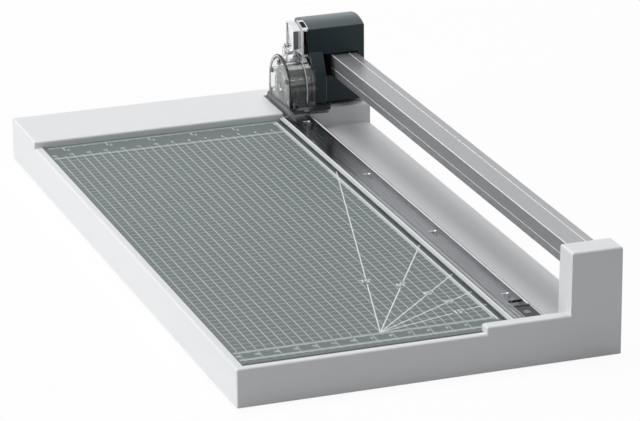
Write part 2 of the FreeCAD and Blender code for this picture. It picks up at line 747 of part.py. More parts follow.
def front_clip():
    x = (-BED_STRIP_EDGE + CLIP_MARGIN, -CLIP_RIGHT)
    rear = CLIP_FRONT + CLIP_LENGTH
    plate = box(x, (CLIP_FRONT, rear), (KNIFE_TOP, KNIFE_TOP + CLIP_THICKNESS))
    lip = box(x, (rear - CLIP_LIP_DEPTH, rear), (KNIFE_TOP, KNIFE_TOP + CLIP_THICKNESS + CLIP_LIP))
    shim = box((x[0], -KNIFE_WIDTH), (CLIP_FRONT, rear), (PLATE_TOP, KNIFE_TOP))
    clip = join([plate, lip, shim])
    clip = round_edges(clip, CLIP_LIP / 3, at_height(KNIFE_TOP + CLIP_THICKNESS + CLIP_LIP))
    place = clip_screw_place()
    return cut(clip, [rod_z(place[0], place[1], CLIP_SCREW_RADIUS, 0, RIM_HEIGHT * 2)])


def clip_screw():
    x, y = clip_screw_place()
    top = KNIFE_TOP + CLIP_THICKNESS
    screw = pan_screw(V(x, y, top), V(0, 0, -1), CLIP_SCREW_RADIUS, CLIP_SCREW_HEAD, CLIP_LIP,
                      CLIP_SCREW_LENGTH)
    slot = box((x - CLIP_SCREW_HEAD, x + CLIP_SCREW_HEAD), (y - CLIP_SCREW_SLOT / 2, y + CLIP_SCREW_SLOT / 2),
               (top + CLIP_LIP / 2, top + CLIP_LIP))
    return cut(screw, [slot])


def clamp_strip():
    left = -STRIP_LEFT
    right = -STRIP_RIGHT
    front = FRONT_STEP_DEPTH + STRIP_END_GAP
    section = [
        V(left, front, STRIP_BOTTOM),
        V(right, front, STRIP_BOTTOM),
        V(right, front, STRIP_TOP - STRIP_EDGE),
        V(right - STRIP_EDGE, front, STRIP_TOP),
        V(left + STRIP_BEVEL, front, STRIP_TOP),
        V(left, front, STRIP_BOTTOM + STRIP_EDGE),
    ]
    strip = prism(section, V(0, REAR_EDGE - STRIP_END_GAP - front, 0))
    notch = box((-BED_STRIP_EDGE, 1), (0, STRIP_NOTCH), (0, RIM_HEIGHT * 2))
    holes = [rod_z(-PIN_EDGE, y, PIN_RADIUS, 0, RIM_HEIGHT * 2) for y in pin_places()]
    mark_right = -PIN_EDGE - MARK_GAP
    marks = [box((mark_right - MARK_LENGTH, mark_right), (y - MARK_WIDTH / 2, y + MARK_WIDTH / 2),
                 (STRIP_TOP - MARK_HEIGHT, STRIP_TOP + MARK_HEIGHT)) for y in pin_places()]
    return cut(join([strip] + marks), [notch] + holes)


def clamp_pins():
    """Pins with a domed head on the strip; they run down through the bed."""
    under = PLATE_SEAT - CEILING
    pins = []
    for y in pin_places():
        shank = rod_z(-PIN_EDGE, y, PIN_RADIUS, under - PIN_TAIL, STRIP_TOP)
        dome = Part.makeSphere(PIN_HEAD * 1.3, V(-PIN_EDGE, y, STRIP_TOP - PIN_HEAD * 0.83))
        cap = rod_z(-PIN_EDGE, y, PIN_HEAD, STRIP_TOP, STRIP_TOP + PIN_HEAD)
        pins.append(join([shank, dome.common(cap)]))
    return pins


def clamp_push_nuts():
    """Push-on rings under the bed that stop the strip's upward travel."""
    top = PLATE_SEAT - CEILING - NUT_GAP
    return [
        rod_z(-PIN_EDGE, y, NUT_RADIUS, top - NUT_THICKNESS, top).cut(
            rod_z(-PIN_EDGE, y, PIN_RADIUS, 0, RIM_HEIGHT))
        for y in pin_places()
    ]


def clamp_springs():
    start = PLATE_SEAT - CEILING + SEAT_FLOOR
    return [coil(COIL_RADIUS, COIL_WIRE, COIL_TURNS, start, STRIP_BOTTOM - start, (-PIN_EDGE, y))
            for y in pin_places()]


def rail_body(grow, start, end):
    """Plain outline of the rail with a gap around it."""
    return box((RAIL_LEFT - grow, RAIL_RIGHT + grow), (start, end), (RAIL_BOTTOM - grow, RAIL_TOP + grow))


def guide_rail():
    start = RAIL_INSET
    end = LENGTH - RAIL_INSET
    rail = rail_body(0, start, end)
    rail = round_edges(rail, RAIL_EDGE, lambda b: b.YLength > LENGTH / 2)
    depth = RAIL_GROOVE
    side_z = RAIL_BOTTOM + RAIL_SIDE_GROOVE
    top_x = RAIL_LEFT + RAIL_TOP_GROOVE
    tools = [
        box((RAIL_LEFT + RAIL_WALL, RAIL_RIGHT - RAIL_WALL), (0, LENGTH),
            (RAIL_BOTTOM + RAIL_WALL, RAIL_TOP - RAIL_WALL)),
        box((RAIL_LEFT - 1, RAIL_LEFT + depth), (0, LENGTH), (side_z - depth / 2, side_z + depth / 2)),
        box((RAIL_RIGHT - depth, RAIL_RIGHT + 1), (0, LENGTH), (side_z - depth / 2, side_z + depth / 2)),
        box((top_x - depth / 2, top_x + depth / 2), (0, LENGTH), (RAIL_TOP - depth, RAIL_TOP + 1)),
    ]
    for y in rail_screw_places():
        tools.append(rod_z(RAIL_MIDDLE, y, RAIL_SCREW_RADIUS, RAIL_BOTTOM - 1, RAIL_BOTTOM + RAIL_WALL + 1))
    return cut(rail, tools)


def rail_screw_places():
    return [TOWER_DEPTH / 2, LENGTH - TOWER_DEPTH / 2]


def rail_sockets():
    """Blocks inside the pedestal and the post that hold the rail's ends."""
    blocks = []
    gap = SEAT_GAP
    for front in (0, LENGTH - TOWER_DEPTH):
        block = box((TOWER_LEFT + WALL + gap, CHANNEL_WIDTH - WALL - gap),
                    (front + WALL + gap, front + TOWER_DEPTH - WALL - gap),
                    (RAIL_BOTTOM - SOCKET_FLOOR, TOWER_HEIGHT - WALL))
        hole = rail_body(0, front, front + TOWER_DEPTH)
        screw = rod_z(RAIL_MIDDLE, front + TOWER_DEPTH / 2, RAIL_SCREW_RADIUS, 0, RAIL_BOTTOM + 1)
        blocks.append(cut(block, [hole, screw]))
    return blocks


def rail_screws():
    return [pan_screw(V(RAIL_MIDDLE, y, RAIL_BOTTOM - SOCKET_FLOOR), V(0, 0, 1), RAIL_SCREW_RADIUS,
                      RAIL_SCREW_HEAD, RAIL_SCREW_HEAD_HEIGHT, SOCKET_FLOOR + RAIL_WALL + RAIL_SCREW_END)
            for y in rail_screw_places()]


def head_profile(inset, bottom, left, right):
    """Arched solid of the head, drawn in by a wall."""
    front = HEAD_FRONT + inset
    rear = HEAD_REAR - inset
    centre = HEAD_TOP - HEAD_ARC
    radius = HEAD_ARC - inset
    shoulder = centre + math.sqrt(radius ** 2 - (HEAD_MIDDLE - front) ** 2)
    arc = Part.Arc(V(left, front, shoulder), V(left, HEAD_MIDDLE, centre + radius), V(left, rear, shoulder))
    lines = [
        Part.LineSegment(V(left, rear, shoulder), V(left, rear, bottom)),
        Part.LineSegment(V(left, rear, bottom), V(left, front, bottom)),
        Part.LineSegment(V(left, front, bottom), V(left, front, shoulder)),
    ]
    return Part.Face(Part.Wire([arc.toShape()] + [line.toShape() for line in lines])).extrude(
        V(right - left, 0, 0))


def head_cover():
    cover = head_profile(0, HEAD_BOTTOM, HEAD_LEFT, HEAD_RIGHT)
    cover = round_edges(cover, HEAD_EDGE, lambda b: b.ZMin > HEAD_BOTTOM + 1 or upright(b))
    inner = head_profile(HEAD_WALL, HEAD_BOTTOM - 1, HEAD_LEFT + HEAD_WALL, HEAD_RIGHT - HEAD_WALL)
    gap = RAIL_WINDOW_GAP
    front_window = box((RAIL_WINDOW_LEFT, RAIL_RIGHT + gap), (HEAD_FRONT - 1, HEAD_FRONT + HEAD_WALL + 1),
                       (RAIL_BOTTOM - gap / 2, RAIL_TOP + gap))
    rear_window = box((RAIL_LEFT - gap, RAIL_RIGHT + gap), (HEAD_REAR - HEAD_WALL - 1, HEAD_REAR + 1),
                      (RAIL_BOTTOM - gap, RAIL_TOP + gap))
    gap = DRUM_GAP
    opening = join([
        rod_x(AXLE_Y, AXLE_HEIGHT, DRUM_RADIUS + gap, HEAD_LEFT - 1, HEAD_LEFT + HEAD_WALL),
        box((HEAD_LEFT - 1, HEAD_LEFT + HEAD_WALL), (HEAD_FRONT - 1, HEAD_REAR + 1), (0, AXLE_HEIGHT)),
    ])
    slot = box((HEAD_LEFT - 1, HEAD_LEFT + HEAD_WALL + 1),
               (TEE_Y - TONGUE_WIDTH / 2 - TONGUE_GAP, TEE_Y + TONGUE_WIDTH / 2 + TONGUE_GAP),
               (HEAD_BOTTOM - 1, CARRIER_TOP + TONGUE_GAP))
    screws = [head_screw(y, 0.1) for y in head_screw_places()]
    return cut(cover, [inner, front_window, rear_window, opening, slot] + screws)


def head_screw_places():
    return [HEAD_FRONT + HEAD_SCREW_FRONT, HEAD_REAR - HEAD_SCREW_REAR]


def head_screw(y, grow):
    """Countersunk screw from the head's right side into the frame's top plate."""
    radius = HEAD_SCREW_RADIUS + grow
    head = HEAD_SCREW_HEAD + grow
    height = frame_plate_bottom() + FRAME_TOP_PLATE / 2
    return join([
        Part.makeCone(head, radius, head - radius, V(HEAD_RIGHT, y, height), V(-1, 0, 0)),
        rod_x(y, height, radius, HEAD_RIGHT - HEAD_SCREW_LENGTH, HEAD_RIGHT),
    ])


def head_screws():
    return [head_screw(y, 0) for y in head_screw_places()]


def frame_plate_bottom():
    return RAIL_TOP + GLIDE_CLEARANCE + GLIDE_THICKNESS


def head_frame():
    left = HEAD_LEFT + HEAD_WALL
    rear = HEAD_REAR - HEAD_WALL
    cavity_left = left + FRAME_LEFT_WALL
    cavity_right = TEE_LEFT + TEE_THICKNESS + GUIDE_GAP
    half = TEE_WIDTH / 2 + GUIDE_GAP
    block = box((left, FRAME_RIGHT), (TEE_Y - half - FRAME_FRONT_WALL, rear), (SPRING_SEAT, FRAME_TOP))
    low = frame_plate_bottom()
    plate = box((FRAME_RIGHT - SINK, HEAD_RIGHT - HEAD_WALL), (HEAD_FRONT + HEAD_WALL, rear),
                (low, low + FRAME_TOP_PLATE))
    tongue = TONGUE_WIDTH / 2 + TONGUE_GAP
    tools = [
        box((0, cavity_left + 1), (TEE_Y - tongue, TEE_Y + tongue), (0, CARRIER_TOP + TONGUE_GAP)),
        box((cavity_left, cavity_right), (TEE_Y - half, TEE_Y + half), (0, CARRIER_TOP + TONGUE_GAP)),
    ]
    for y in glide_places():
        middle = y + GLIDE_DEPTH / 2
        tools.append(rod_z(RAIL_MIDDLE, middle, GLIDE_SCREW_RADIUS, 0, HEAD_TOP))
    for y in head_screw_places():
        tools.append(rod_x(y, low + FRAME_TOP_PLATE / 2, HEAD_SCREW_RADIUS, HEAD_RIGHT - HEAD_SCREW_LENGTH,
                           HEAD_RIGHT))
    for x, y in retainer_screw_places():
        tools.append(rod_z(x, y, GLIDE_SCREW_RADIUS, 0, SPRING_SEAT + RETAINER_SCREW_HOLE))
    return cut(join([block, plate]), tools)


def glide_places():
    return [HEAD_FRONT + HEAD_WALL + GLIDE_INSET, HEAD_REAR - HEAD_WALL - GLIDE_INSET - GLIDE_DEPTH]


def glide(start):
    """Plastic bush that runs round the rail and hangs from the frame's top plate."""
    grow = GLIDE_CLEARANCE
    thick = GLIDE_THICKNESS + grow
    ring = box((RAIL_LEFT - thick, RAIL_RIGHT + thick), (start, start + GLIDE_DEPTH),
               (RAIL_BOTTOM - thick, RAIL_TOP + thick))
    screw = rod_z(RAIL_MIDDLE, start + GLIDE_DEPTH / 2, GLIDE_SCREW_RADIUS, RAIL_TOP, RAIL_TOP + thick + 1)
    return cut(ring, [rail_body(grow, start - 1, start + GLIDE_DEPTH + 1), screw])


def front_glide():
    return glide(glide_places()[0])


def rear_glide():
    return glide(glide_places()[1])


def glide_screws():
    top = frame_plate_bottom() + FRAME_TOP_PLATE
    return [pan_screw(V(RAIL_MIDDLE, y + GLIDE_DEPTH / 2, top), V(0, 0, -1), GLIDE_SCREW_RADIUS,
                      GLIDE_SCREW_HEAD, GLIDE_SCREW_HEAD_HEIGHT, GLIDE_SCREW_LENGTH)
            for y in glide_places()]


def blade_shield():
    """Arched rib on the head's front face, just right of the blade."""
    left = SHIELD_LEFT
    back = HEAD_FRONT
    front = back - SHIELD_REACH
    centre = front + SHIELD_ARC
    level = SHIELD_TOP - math.sqrt(SHIELD_ARC ** 2 - (centre - back) ** 2)
    bend = math.radians(SHIELD_BEND)
    middle = V(left, centre - SHIELD_ARC * math.cos(bend), level + SHIELD_ARC * math.sin(bend))
    arc = Part.Arc(V(left, front, level), middle, V(left, back, SHIELD_TOP)).toShape()
    corners = [V(left, back, SHIELD_TOP), V(left, back, SHIELD_BOTTOM), V(left, front, SHIELD_BOTTOM),
               V(left, front, level)]
    lines = [Part.LineSegment(a, b).toShape() for a, b in zip(corners, corners[1:])]
    rib = Part.Face(Part.Wire([arc] + lines)).extrude(V(SHIELD_WIDTH, 0, 0))
    rib = round_edges(rib, SHIELD_EDGE, lambda b: b.XMin > left + SHIELD_WIDTH - 0.01
                      and b.YMax < back + 0.01 and b.ZMax > SHIELD_BOTTOM + 0.01
                      and b.YMin < back - 0.01)
    right = DRUM_RIGHT + SHIELD_GAP
    return cut(rib, [
        rod_x(AXLE_Y, AXLE_HEIGHT, DRUM_RADIUS + DRUM_GAP, left - 1, right),
        box((left - 1, right), (front - 1, back + 1), (0, AXLE_HEIGHT)),
    ])


def guide_bounds():
    return (HEAD_LEFT - GUIDE_WIDTH, HEAD_LEFT)


def slot_bounds():
    left, right = guide_bounds()
    return (left + SLOT_WALL, right - SLOT_RIGHT_WALL)


def guide_frame():
    left, right = guide_bounds()
    frame = head_profile(0, GUIDE_BOTTOM, left, right)
    frame = frame.common(box((left, right), (HEAD_FRONT, HEAD_FRONT + GUIDE_DEPTH), (0, HEAD_TOP + 1)))
    window = box(slot_bounds(), (HEAD_FRONT - 1, HEAD_FRONT + SLOT_DEPTH),
                 (GUIDE_BOTTOM + SLOT_SILL, GUIDE_BOTTOM + SLOT_SILL + SLOT_HEIGHT))
    top_start = HEAD_FRONT + TOP_SLOT_START
    top = box(slot_bounds(), (top_start, top_start + TOP_SLOT_LENGTH), (top_slot_floor(), HEAD_TOP + 1))
    return cut(frame, [window, top])


def top_slot_floor():
    return GUIDE_BOTTOM + SLOT_SILL + SLOT_HEIGHT + SLOT_BRIDGE


def guide_liner():
    """Black back of the front slot and black plug of the top slot."""
    left, right = slot_bounds()
    x = (left + LINER_GAP, right - LINER_GAP)
    low = GUIDE_BOTTOM + SLOT_SILL
    back = box(x, (HEAD_FRONT + LATCH_DEPTH + LINER_FRONT_GAP, HEAD_FRONT + SLOT_DEPTH),
               (low, low + SLOT_HEIGHT))
    start = HEAD_FRONT + TOP_SLOT_START
    plug = head_profile(LINER_DROP, top_slot_floor(), x[0], x[1]).common(
        box(x, (start + LINER_GAP, start + TOP_SLOT_LENGTH - LINER_GAP), (0, HEAD_TOP)))
    return [back, plug]


def latch_button():
    left, right = slot_bounds()
    low = GUIDE_BOTTOM + SLOT_SILL + LATCH_SILL_GAP
    front = HEAD_FRONT + LATCH_SINK
    x = (left + LATCH_SIDE_GAP, right - LATCH_SIDE_GAP)
    button = box(x, (front, front + LATCH_DEPTH), (low, low + LATCH_HEIGHT))
    grooves = []
    for i in range(LATCH_GROOVE_COUNT):
        start = low + LATCH_GROOVE_PITCH * (i + 1)
        grooves.append(box((left, right), (HEAD_FRONT, front + LATCH_GROOVE), (start, start + LATCH_GROOVE)))
    return cut(button, grooves)


def return_spring():
    height = TONGUE_BOTTOM - SPRING_SEAT
    middle = TEE_LEFT + TEE_THICKNESS / 2
    return coil(SPRING_RADIUS, SPRING_WIRE, SPRING_TURNS, SPRING_SEAT, height, (middle, TEE_Y))


def retainer_screw_places():
    x = FRAME_RIGHT - FRAME_RIGHT_WALL / 2
    reach = TEE_WIDTH / 2 - RETAINER_SCREW_EDGE
    return [(x, TEE_Y - reach), (x, TEE_Y + reach)]


def spring_retainer():
    """Plate that closes the frame's slot from below and carries the return spring."""
    left = HEAD_LEFT + HEAD_WALL
    plate = box((left, FRAME_RIGHT), (TEE_Y - TEE_WIDTH / 2 - FRAME_FRONT_WALL, HEAD_REAR - HEAD_WALL),
                (SPRING_SEAT - RETAINER_THICKNESS, SPRING_SEAT))
    return cut(plate, [rod_z(x, y, GLIDE_SCREW_RADIUS, 0, HEAD_TOP) for x, y in retainer_screw_places()])


def retainer_screws():
    return [pan_screw(V(x, y, SPRING_SEAT - RETAINER_THICKNESS), V(0, 0, 1), GLIDE_SCREW_RADIUS,
                      GLIDE_SCREW_HEAD, RETAINER_SCREW_HEAD_HEIGHT, RETAINER_SCREW_LENGTH)
            for x, y in retainer_screw_places()]


def drum(radius, left, right):
    """Arched solid round the blade axle with straight sides down to the foot."""
    return join([
        rod_x(AXLE_Y, AXLE_HEIGHT, radius, left, right).common(
            box((left, right), (0, LENGTH), (AXLE_HEIGHT, HEAD_TOP))),
        box((left, right), (AXLE_Y - radius, AXLE_Y + radius), (FOOT_TOP, AXLE_HEIGHT)),
    ])


def shell_screw_places():
    return [(AXLE_Y + SHELL_SCREW_CIRCLE * math.cos(math.radians(a)),
             AXLE_HEIGHT + SHELL_SCREW_CIRCLE * math.sin(math.radians(a))) for a in SHELL_SCREW_ANGLES]


def cartridge_shell_left():
    inner = DRUM_RADIUS - DRUM_WALL
    shell = join([
        drum(FLANGE_RADIUS, -DRUM_LEFT, -DRUM_LEFT + FLANGE_WIDTH),
        drum(DRUM_RADIUS, -DRUM_LEFT + FLANGE_WIDTH / 2, -DRUM_JOINT),
    ])
    shell = round_edges(shell, FLANGE_EDGE, lambda b: b.XMax < -DRUM_LEFT + 0.01 and b.ZMax > FOOT_TOP + 0.1)
    bead = drum(DRUM_RADIUS + DRUM_BEAD, -DRUM_JOINT - DRUM_BEAD_WIDTH, -DRUM_JOINT)
    shell = join([shell, bead])
    shell = cut(shell, [drum(inner, -DRUM_LEFT + DRUM_WALL, -DRUM_JOINT + 1).fuse(
        box((-DRUM_LEFT + DRUM_WALL, 1), (AXLE_Y - inner, AXLE_Y + inner), (FOOT_TOP - 1, AXLE_HEIGHT)))])
    face = -DRUM_LEFT + DRUM_WALL
    bosses = [rod_x(AXLE_Y, AXLE_HEIGHT, AXLE_BOSS, face - SINK, face + AXLE_BOSS_LENGTH)]
    bosses += [rod_x(y, z, SHELL_SCREW_BOSS, face - SINK, -DRUM_JOINT) for y, z in shell_screw_places()]
    ring = rod_x(AXLE_Y, AXLE_HEIGHT, HUB_FLANGE + DRUM_RING_WIDTH, face - SINK, face + DRUM_RING_HEIGHT).cut(
        rod_x(AXLE_Y, AXLE_HEIGHT, HUB_FLANGE, face - 1, face + 1))
    screw_holes = [rod_x(y, z, SHELL_SCREW_RADIUS, -DRUM_LEFT - 1, 1) for y, z in shell_screw_places()]
    lugs = [box((face - SINK, face + LUG_LENGTH), (y, y + LUG_LENGTH), (FOOT_TOP, FOOT_TOP + LUG_HEIGHT))
            for y in (AXLE_Y - inner - SINK, AXLE_Y + inner + SINK - LUG_LENGTH)]
    lug_holes = [rod_z(x, y, SHELL_SCREW_RADIUS, 0, FOOT_TOP + LUG_SCREW_LENGTH)
                 for x, y in foot_screw_places()]
    axle_hole = rod_x(AXLE_Y, AXLE_HEIGHT, AXLE_RADIUS, -DRUM_LEFT - 1, 1)
    return cut(join([shell, ring] + bosses + lugs), screw_holes + lug_holes + [axle_hole])


def cartridge_shell_right():
    inner = DRUM_RADIUS - DRUM_WALL
    shell = drum(DRUM_RADIUS, -DRUM_JOINT, DRUM_RIGHT)
    shell = cut(shell, [
        drum(inner, -DRUM_JOINT - 1, DRUM_RIGHT - DRUM_FACE),
        box((-DRUM_JOINT - 1, DRUM_RIGHT - DRUM_FACE), (AXLE_Y - inner, AXLE_Y + inner),
            (FOOT_TOP - 1, AXLE_HEIGHT)),
        rod_x(AXLE_Y, AXLE_HEIGHT, CAP_HOLE, 0, DRUM_RIGHT + 1),
    ])
    bosses = [rod_x(y, z, SHELL_SCREW_BOSS, -DRUM_JOINT, -DRUM_JOINT + SHELL_SOCKET).cut(
        rod_x(y, z, SHELL_SCREW_RADIUS, -DRUM_JOINT - 1, 0)) for y, z in shell_screw_places()]
    return join([shell] + bosses)


def cartridge_screws():
    return [pan_screw(V(-DRUM_LEFT, y, z), V(1, 0, 0), SHELL_SCREW_RADIUS, SHELL_SCREW_HEAD,
                      SHELL_SCREW_HEAD_HEIGHT, SHELL_SCREW_LENGTH)
            for y, z in shell_screw_places()]


def foot_screw_places():
    inner = DRUM_RADIUS - DRUM_WALL
    x = -DRUM_LEFT + DRUM_WALL + LUG_SCREW
    return [(x, AXLE_Y - inner + LUG_SCREW_EDGE), (x, AXLE_Y + inner - LUG_SCREW_EDGE)]


def foot_screw(x, y, grow):
    radius = SHELL_SCREW_RADIUS + grow
    start = FOOT_PLATE_BOTTOM + FOOT_GROOVE_DEPTH
    return countersunk_z(x, y, start, radius, SHELL_SCREW_HEAD + grow, FOOT_TOP - start + LUG_SCREW_LENGTH)


def cartridge_foot():
    foot = foot_outline(0, FOOT_PLATE_BOTTOM, FOOT_TOP)
    chord = math.sqrt(BLADE_RADIUS ** 2 - (AXLE_HEIGHT - FOOT_TOP) ** 2) + BLADE_SLOT_END
    slot = box((-BLADE_SLOT_LEFT, DRUM_RIGHT - DRUM_FACE), (AXLE_Y - chord, AXLE_Y + chord), (0, HEAD_TOP))
    slope = prism([
        V(-FOOT_LEFT - 1, 0, FOOT_PLATE_BOTTOM + FOOT_LIP),
        V(-FOOT_LEFT, 0, FOOT_PLATE_BOTTOM + FOOT_LIP),
        V(-DRUM_LEFT, 0, FOOT_TOP),
        V(-DRUM_LEFT, 0, FOOT_TOP + 1),
        V(-FOOT_LEFT - 1, 0, FOOT_TOP + 1),
    ], V(0, LENGTH, 0))
    corner = prism([
        V(-FOOT_LEFT, FOOT_REAR - FOOT_CORNER, 0),
        V(-FOOT_LEFT + FOOT_CORNER, FOOT_REAR, 0),
        V(-FOOT_LEFT, FOOT_REAR, 0),
    ], V(0, 0, HEAD_TOP))
    groove = box((-FOOT_GROOVE_LEFT, -FOOT_GROOVE_RIGHT), (0, LENGTH),
                 (0, FOOT_PLATE_BOTTOM + FOOT_GROOVE_DEPTH))
    return cut(foot, [slot, slope, corner, groove] + [foot_screw(x, y, 0.1) for x, y in foot_screw_places()])


def foot_screws():
    return [foot_screw(x, y, 0) for x, y in foot_screw_places()]


def press_arm():
    """Clear slab left of the head, with a top that follows the head's arch a little higher."""
    arm = head_profile(-ARM_RISE, AXLE_HEIGHT, -ARM_LEFT, -ARM_RIGHT)
    arm = arm.common(box((-ARM_LEFT, -ARM_RIGHT), (HEAD_FRONT, ARM_REAR), (AXLE_HEIGHT, HEAD_TOP + ARM_RISE)))
    arm = round_edges(arm, ARM_EDGE, lambda b: b.ZMin > HEAD_TOP - 6 and b.XLength < 0.01)
    pin = rod_x(catch_place()[0], CATCH_HEIGHT, CATCH_PIN_RADIUS, -ARM_LEFT - 1, -ARM_LEFT + CATCH_PIN_DEPTH)
    bead = rod_x(AXLE_Y, AXLE_HEIGHT, DRUM_RADIUS + DRUM_BEAD, -DRUM_JOINT - DRUM_BEAD_WIDTH, -DRUM_JOINT)
    return cut(arm, [rod_x(AXLE_Y, AXLE_HEIGHT, DRUM_RADIUS, -DRUM_LEFT, DRUM_RIGHT), bead, pin])


def cartridge_carrier():
    """Arm behind the slab, with a tongue and a T-head that run in the head's frame."""
    right = HEAD_LEFT - CARRIER_RIGHT_GAP
    plate = box((-CARRIER_LEFT, right), (ARM_REAR, CARRIER_REAR), (AXLE_HEIGHT, FRAME_TOP))
    bead = rod_x(AXLE_Y, AXLE_HEIGHT, DRUM_RADIUS + DRUM_BEAD, -DRUM_JOINT - DRUM_BEAD_WIDTH, -DRUM_JOINT)
    drum_bed = rod_x(AXLE_Y, AXLE_HEIGHT, DRUM_RADIUS, -DRUM_LEFT, DRUM_RIGHT + CARRIER_BED_GAP)
    plate = cut(plate, [drum_bed, bead])
    plate = round_edges(plate, CARRIER_EDGE, at_height(FRAME_TOP))
    tongue = box((right - 1, TEE_LEFT + 1), (TEE_Y - TONGUE_WIDTH / 2, TEE_Y + TONGUE_WIDTH / 2),
                 (TONGUE_BOTTOM, CARRIER_TOP))
    tee = box((TEE_LEFT, TEE_LEFT + TEE_THICKNESS), (TEE_Y - TEE_WIDTH / 2, TEE_Y + TEE_WIDTH / 2),
              (TONGUE_BOTTOM, CARRIER_TOP))
    return join([plate, tongue.cut(drum_bed), tee])


def blade_axle():
    axle = rod_x(AXLE_Y, AXLE_HEIGHT, AXLE_RADIUS, -DRUM_LEFT, axle_end())
    groove = rod_x(AXLE_Y, AXLE_HEIGHT, AXLE_RADIUS + 1, clip_start(), clip_start() + CLIP_RING_WIDTH).cut(
        rod_x(AXLE_Y, AXLE_HEIGHT, AXLE_RADIUS - AXLE_GROOVE, 0, DRUM_RIGHT))
    return cut(axle, [groove])


def hub_end():
    return BLADE_CLEARANCE + HUB_SLEEVE


def clip_start():
    return hub_end() + RUNNING_GAP


def axle_end():
    return clip_start() + CLIP_RING_WIDTH + AXLE_END


def axle_clip():
    """Open ring in the axle's groove that keeps the hub on."""
    ring = rod_x(AXLE_Y, AXLE_HEIGHT, CLIP_RING_RADIUS, clip_start(), clip_start() + CLIP_RING_WIDTH)
    hole = rod_x(AXLE_Y, AXLE_HEIGHT, AXLE_RADIUS - AXLE_GROOVE, 0, DRUM_RIGHT)
    mouth = box((0, DRUM_RIGHT), (AXLE_Y - CLIP_RING_MOUTH / 2, AXLE_Y + CLIP_RING_MOUTH / 2),
                (AXLE_HEIGHT - CLIP_RING_RADIUS - 1, AXLE_HEIGHT))
    return cut(ring, [hole, mouth])


def catch_place():
    return (HEAD_FRONT + CATCH_BEHIND_FRONT, CATCH_HEIGHT)


def cartridge_catch():
    """Round clear catch with a thumb nose, on a pin in the slab."""
    y, z = catch_place()
    end = -ARM_LEFT - CATCH_SIDE_GAP
    start = end - CATCH_THICKNESS
    disc = rod_x(y, z, CATCH_RADIUS, start, end)
    nose = box((start, end), (y - CATCH_NOSE_WIDTH / 2, y + CATCH_NOSE_WIDTH / 2),
               (z, z + CATCH_RADIUS + CATCH_NOSE))
    catch = round_edges(join([disc, nose]), CATCH_EDGE, lambda b: b.XMax < start + 0.01)
    dish = rod_x(y, z, CATCH_RADIUS - CATCH_RIM, start - 1, start + CATCH_DISH)
    return cut(catch, [dish, rod_x(y, z, CATCH_PIN_RADIUS + RUNNING_GAP, start - 1, end + 1)])


def catch_pin():
    y, z = catch_place()
    start = -ARM_LEFT - CATCH_SIDE_GAP - CATCH_THICKNESS
    return rod_x(y, z, CATCH_PIN_RADIUS, start + CATCH_PIN_SINK, -ARM_LEFT + CATCH_PIN_DEPTH)


def rotary_blade():
    left = BLADE_CLEARANCE
    right = left + BLADE_THICKNESS
    disc = rod_x(AXLE_Y, AXLE_HEIGHT, BLADE_RADIUS - BLADE_BEVEL, left, right)
    edge = Part.makeCone(BLADE_RADIUS, BLADE_RADIUS - BLADE_BEVEL, BLADE_THICKNESS - BLADE_EDGE,
                         V(left + BLADE_EDGE, AXLE_Y, AXLE_HEIGHT), V(1, 0, 0))
    rim = rod_x(AXLE_Y, AXLE_HEIGHT, BLADE_RADIUS, left, left + BLADE_EDGE)
    return cut(join([disc, rim, edge]), [rod_x(AXLE_Y, AXLE_HEIGHT, BLADE_BORE, -1, 2)])


def blade_hub():
    start = BLADE_CLEARANCE
    hub = join([
        rod_x(AXLE_Y, AXLE_HEIGHT, HUB_FLANGE, start - HUB_FLANGE_WIDTH, start),
        rod_x(AXLE_Y, AXLE_HEIGHT, HUB_DRUM, start - HUB_LENGTH, start),
        rod_x(AXLE_Y, AXLE_HEIGHT, BLADE_BORE, start, hub_end()),
    ])
    return cut(hub, [rod_x(AXLE_Y, AXLE_HEIGHT, AXLE_RADIUS + RUNNING_GAP, -DRUM_LEFT, 2)])


def hub_cap():
    """Ring that clamps the blade on the hub's sleeve."""
    start = BLADE_CLEARANCE + BLADE_THICKNESS
    return rod_x(AXLE_Y, AXLE_HEIGHT, CAP_RADIUS, start, hub_end()).cut(
        rod_x(AXLE_Y, AXLE_HEIGHT, BLADE_BORE, start - 1, hub_end() + 1))


PIECES = [
    base_housing, bottom_plate, bottom_screws, rubber_feet, measuring_plate, bed_strip, counter_blade,
    counter_blade_screws, front_clip, clip_screw, clamp_strip, clamp_pins, clamp_push_nuts, clamp_springs,
    guide_rail, rail_sockets, rail_screws, head_cover, head_frame, front_glide, rear_glide, glide_screws,
    head_screws, blade_shield, guide_frame, guide_liner, latch_button, return_spring, spring_retainer,
    retainer_screws, cartridge_shell_left, cartridge_shell_right, cartridge_screws, cartridge_foot,
    foot_screws, press_arm, cartridge_carrier, blade_axle, axle_clip, cartridge_catch, catch_pin,
    rotary_blade, blade_hub, hub_cap,
]


def main():
    os.makedirs("parts", exist_ok=True)
    for piece in PIECES:
        made = piece()
        solids = made if isinstance(made, list) else [made]
        shape = solids[0] if len(solids) == 1 else Part.makeCompound(solids)
        shape.translate(ORIGIN)
        shape.exportStep("parts/" + piece.__name__ + ".step")
        valid = all(solid.isValid() for solid in shape.Solids)
        print(piece.__name__, len(shape.Solids), round(shape.Volume, 1), valid)


main()
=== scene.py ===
import math

import bmesh
import bpy
from mathutils import Euler, Matrix, Vector


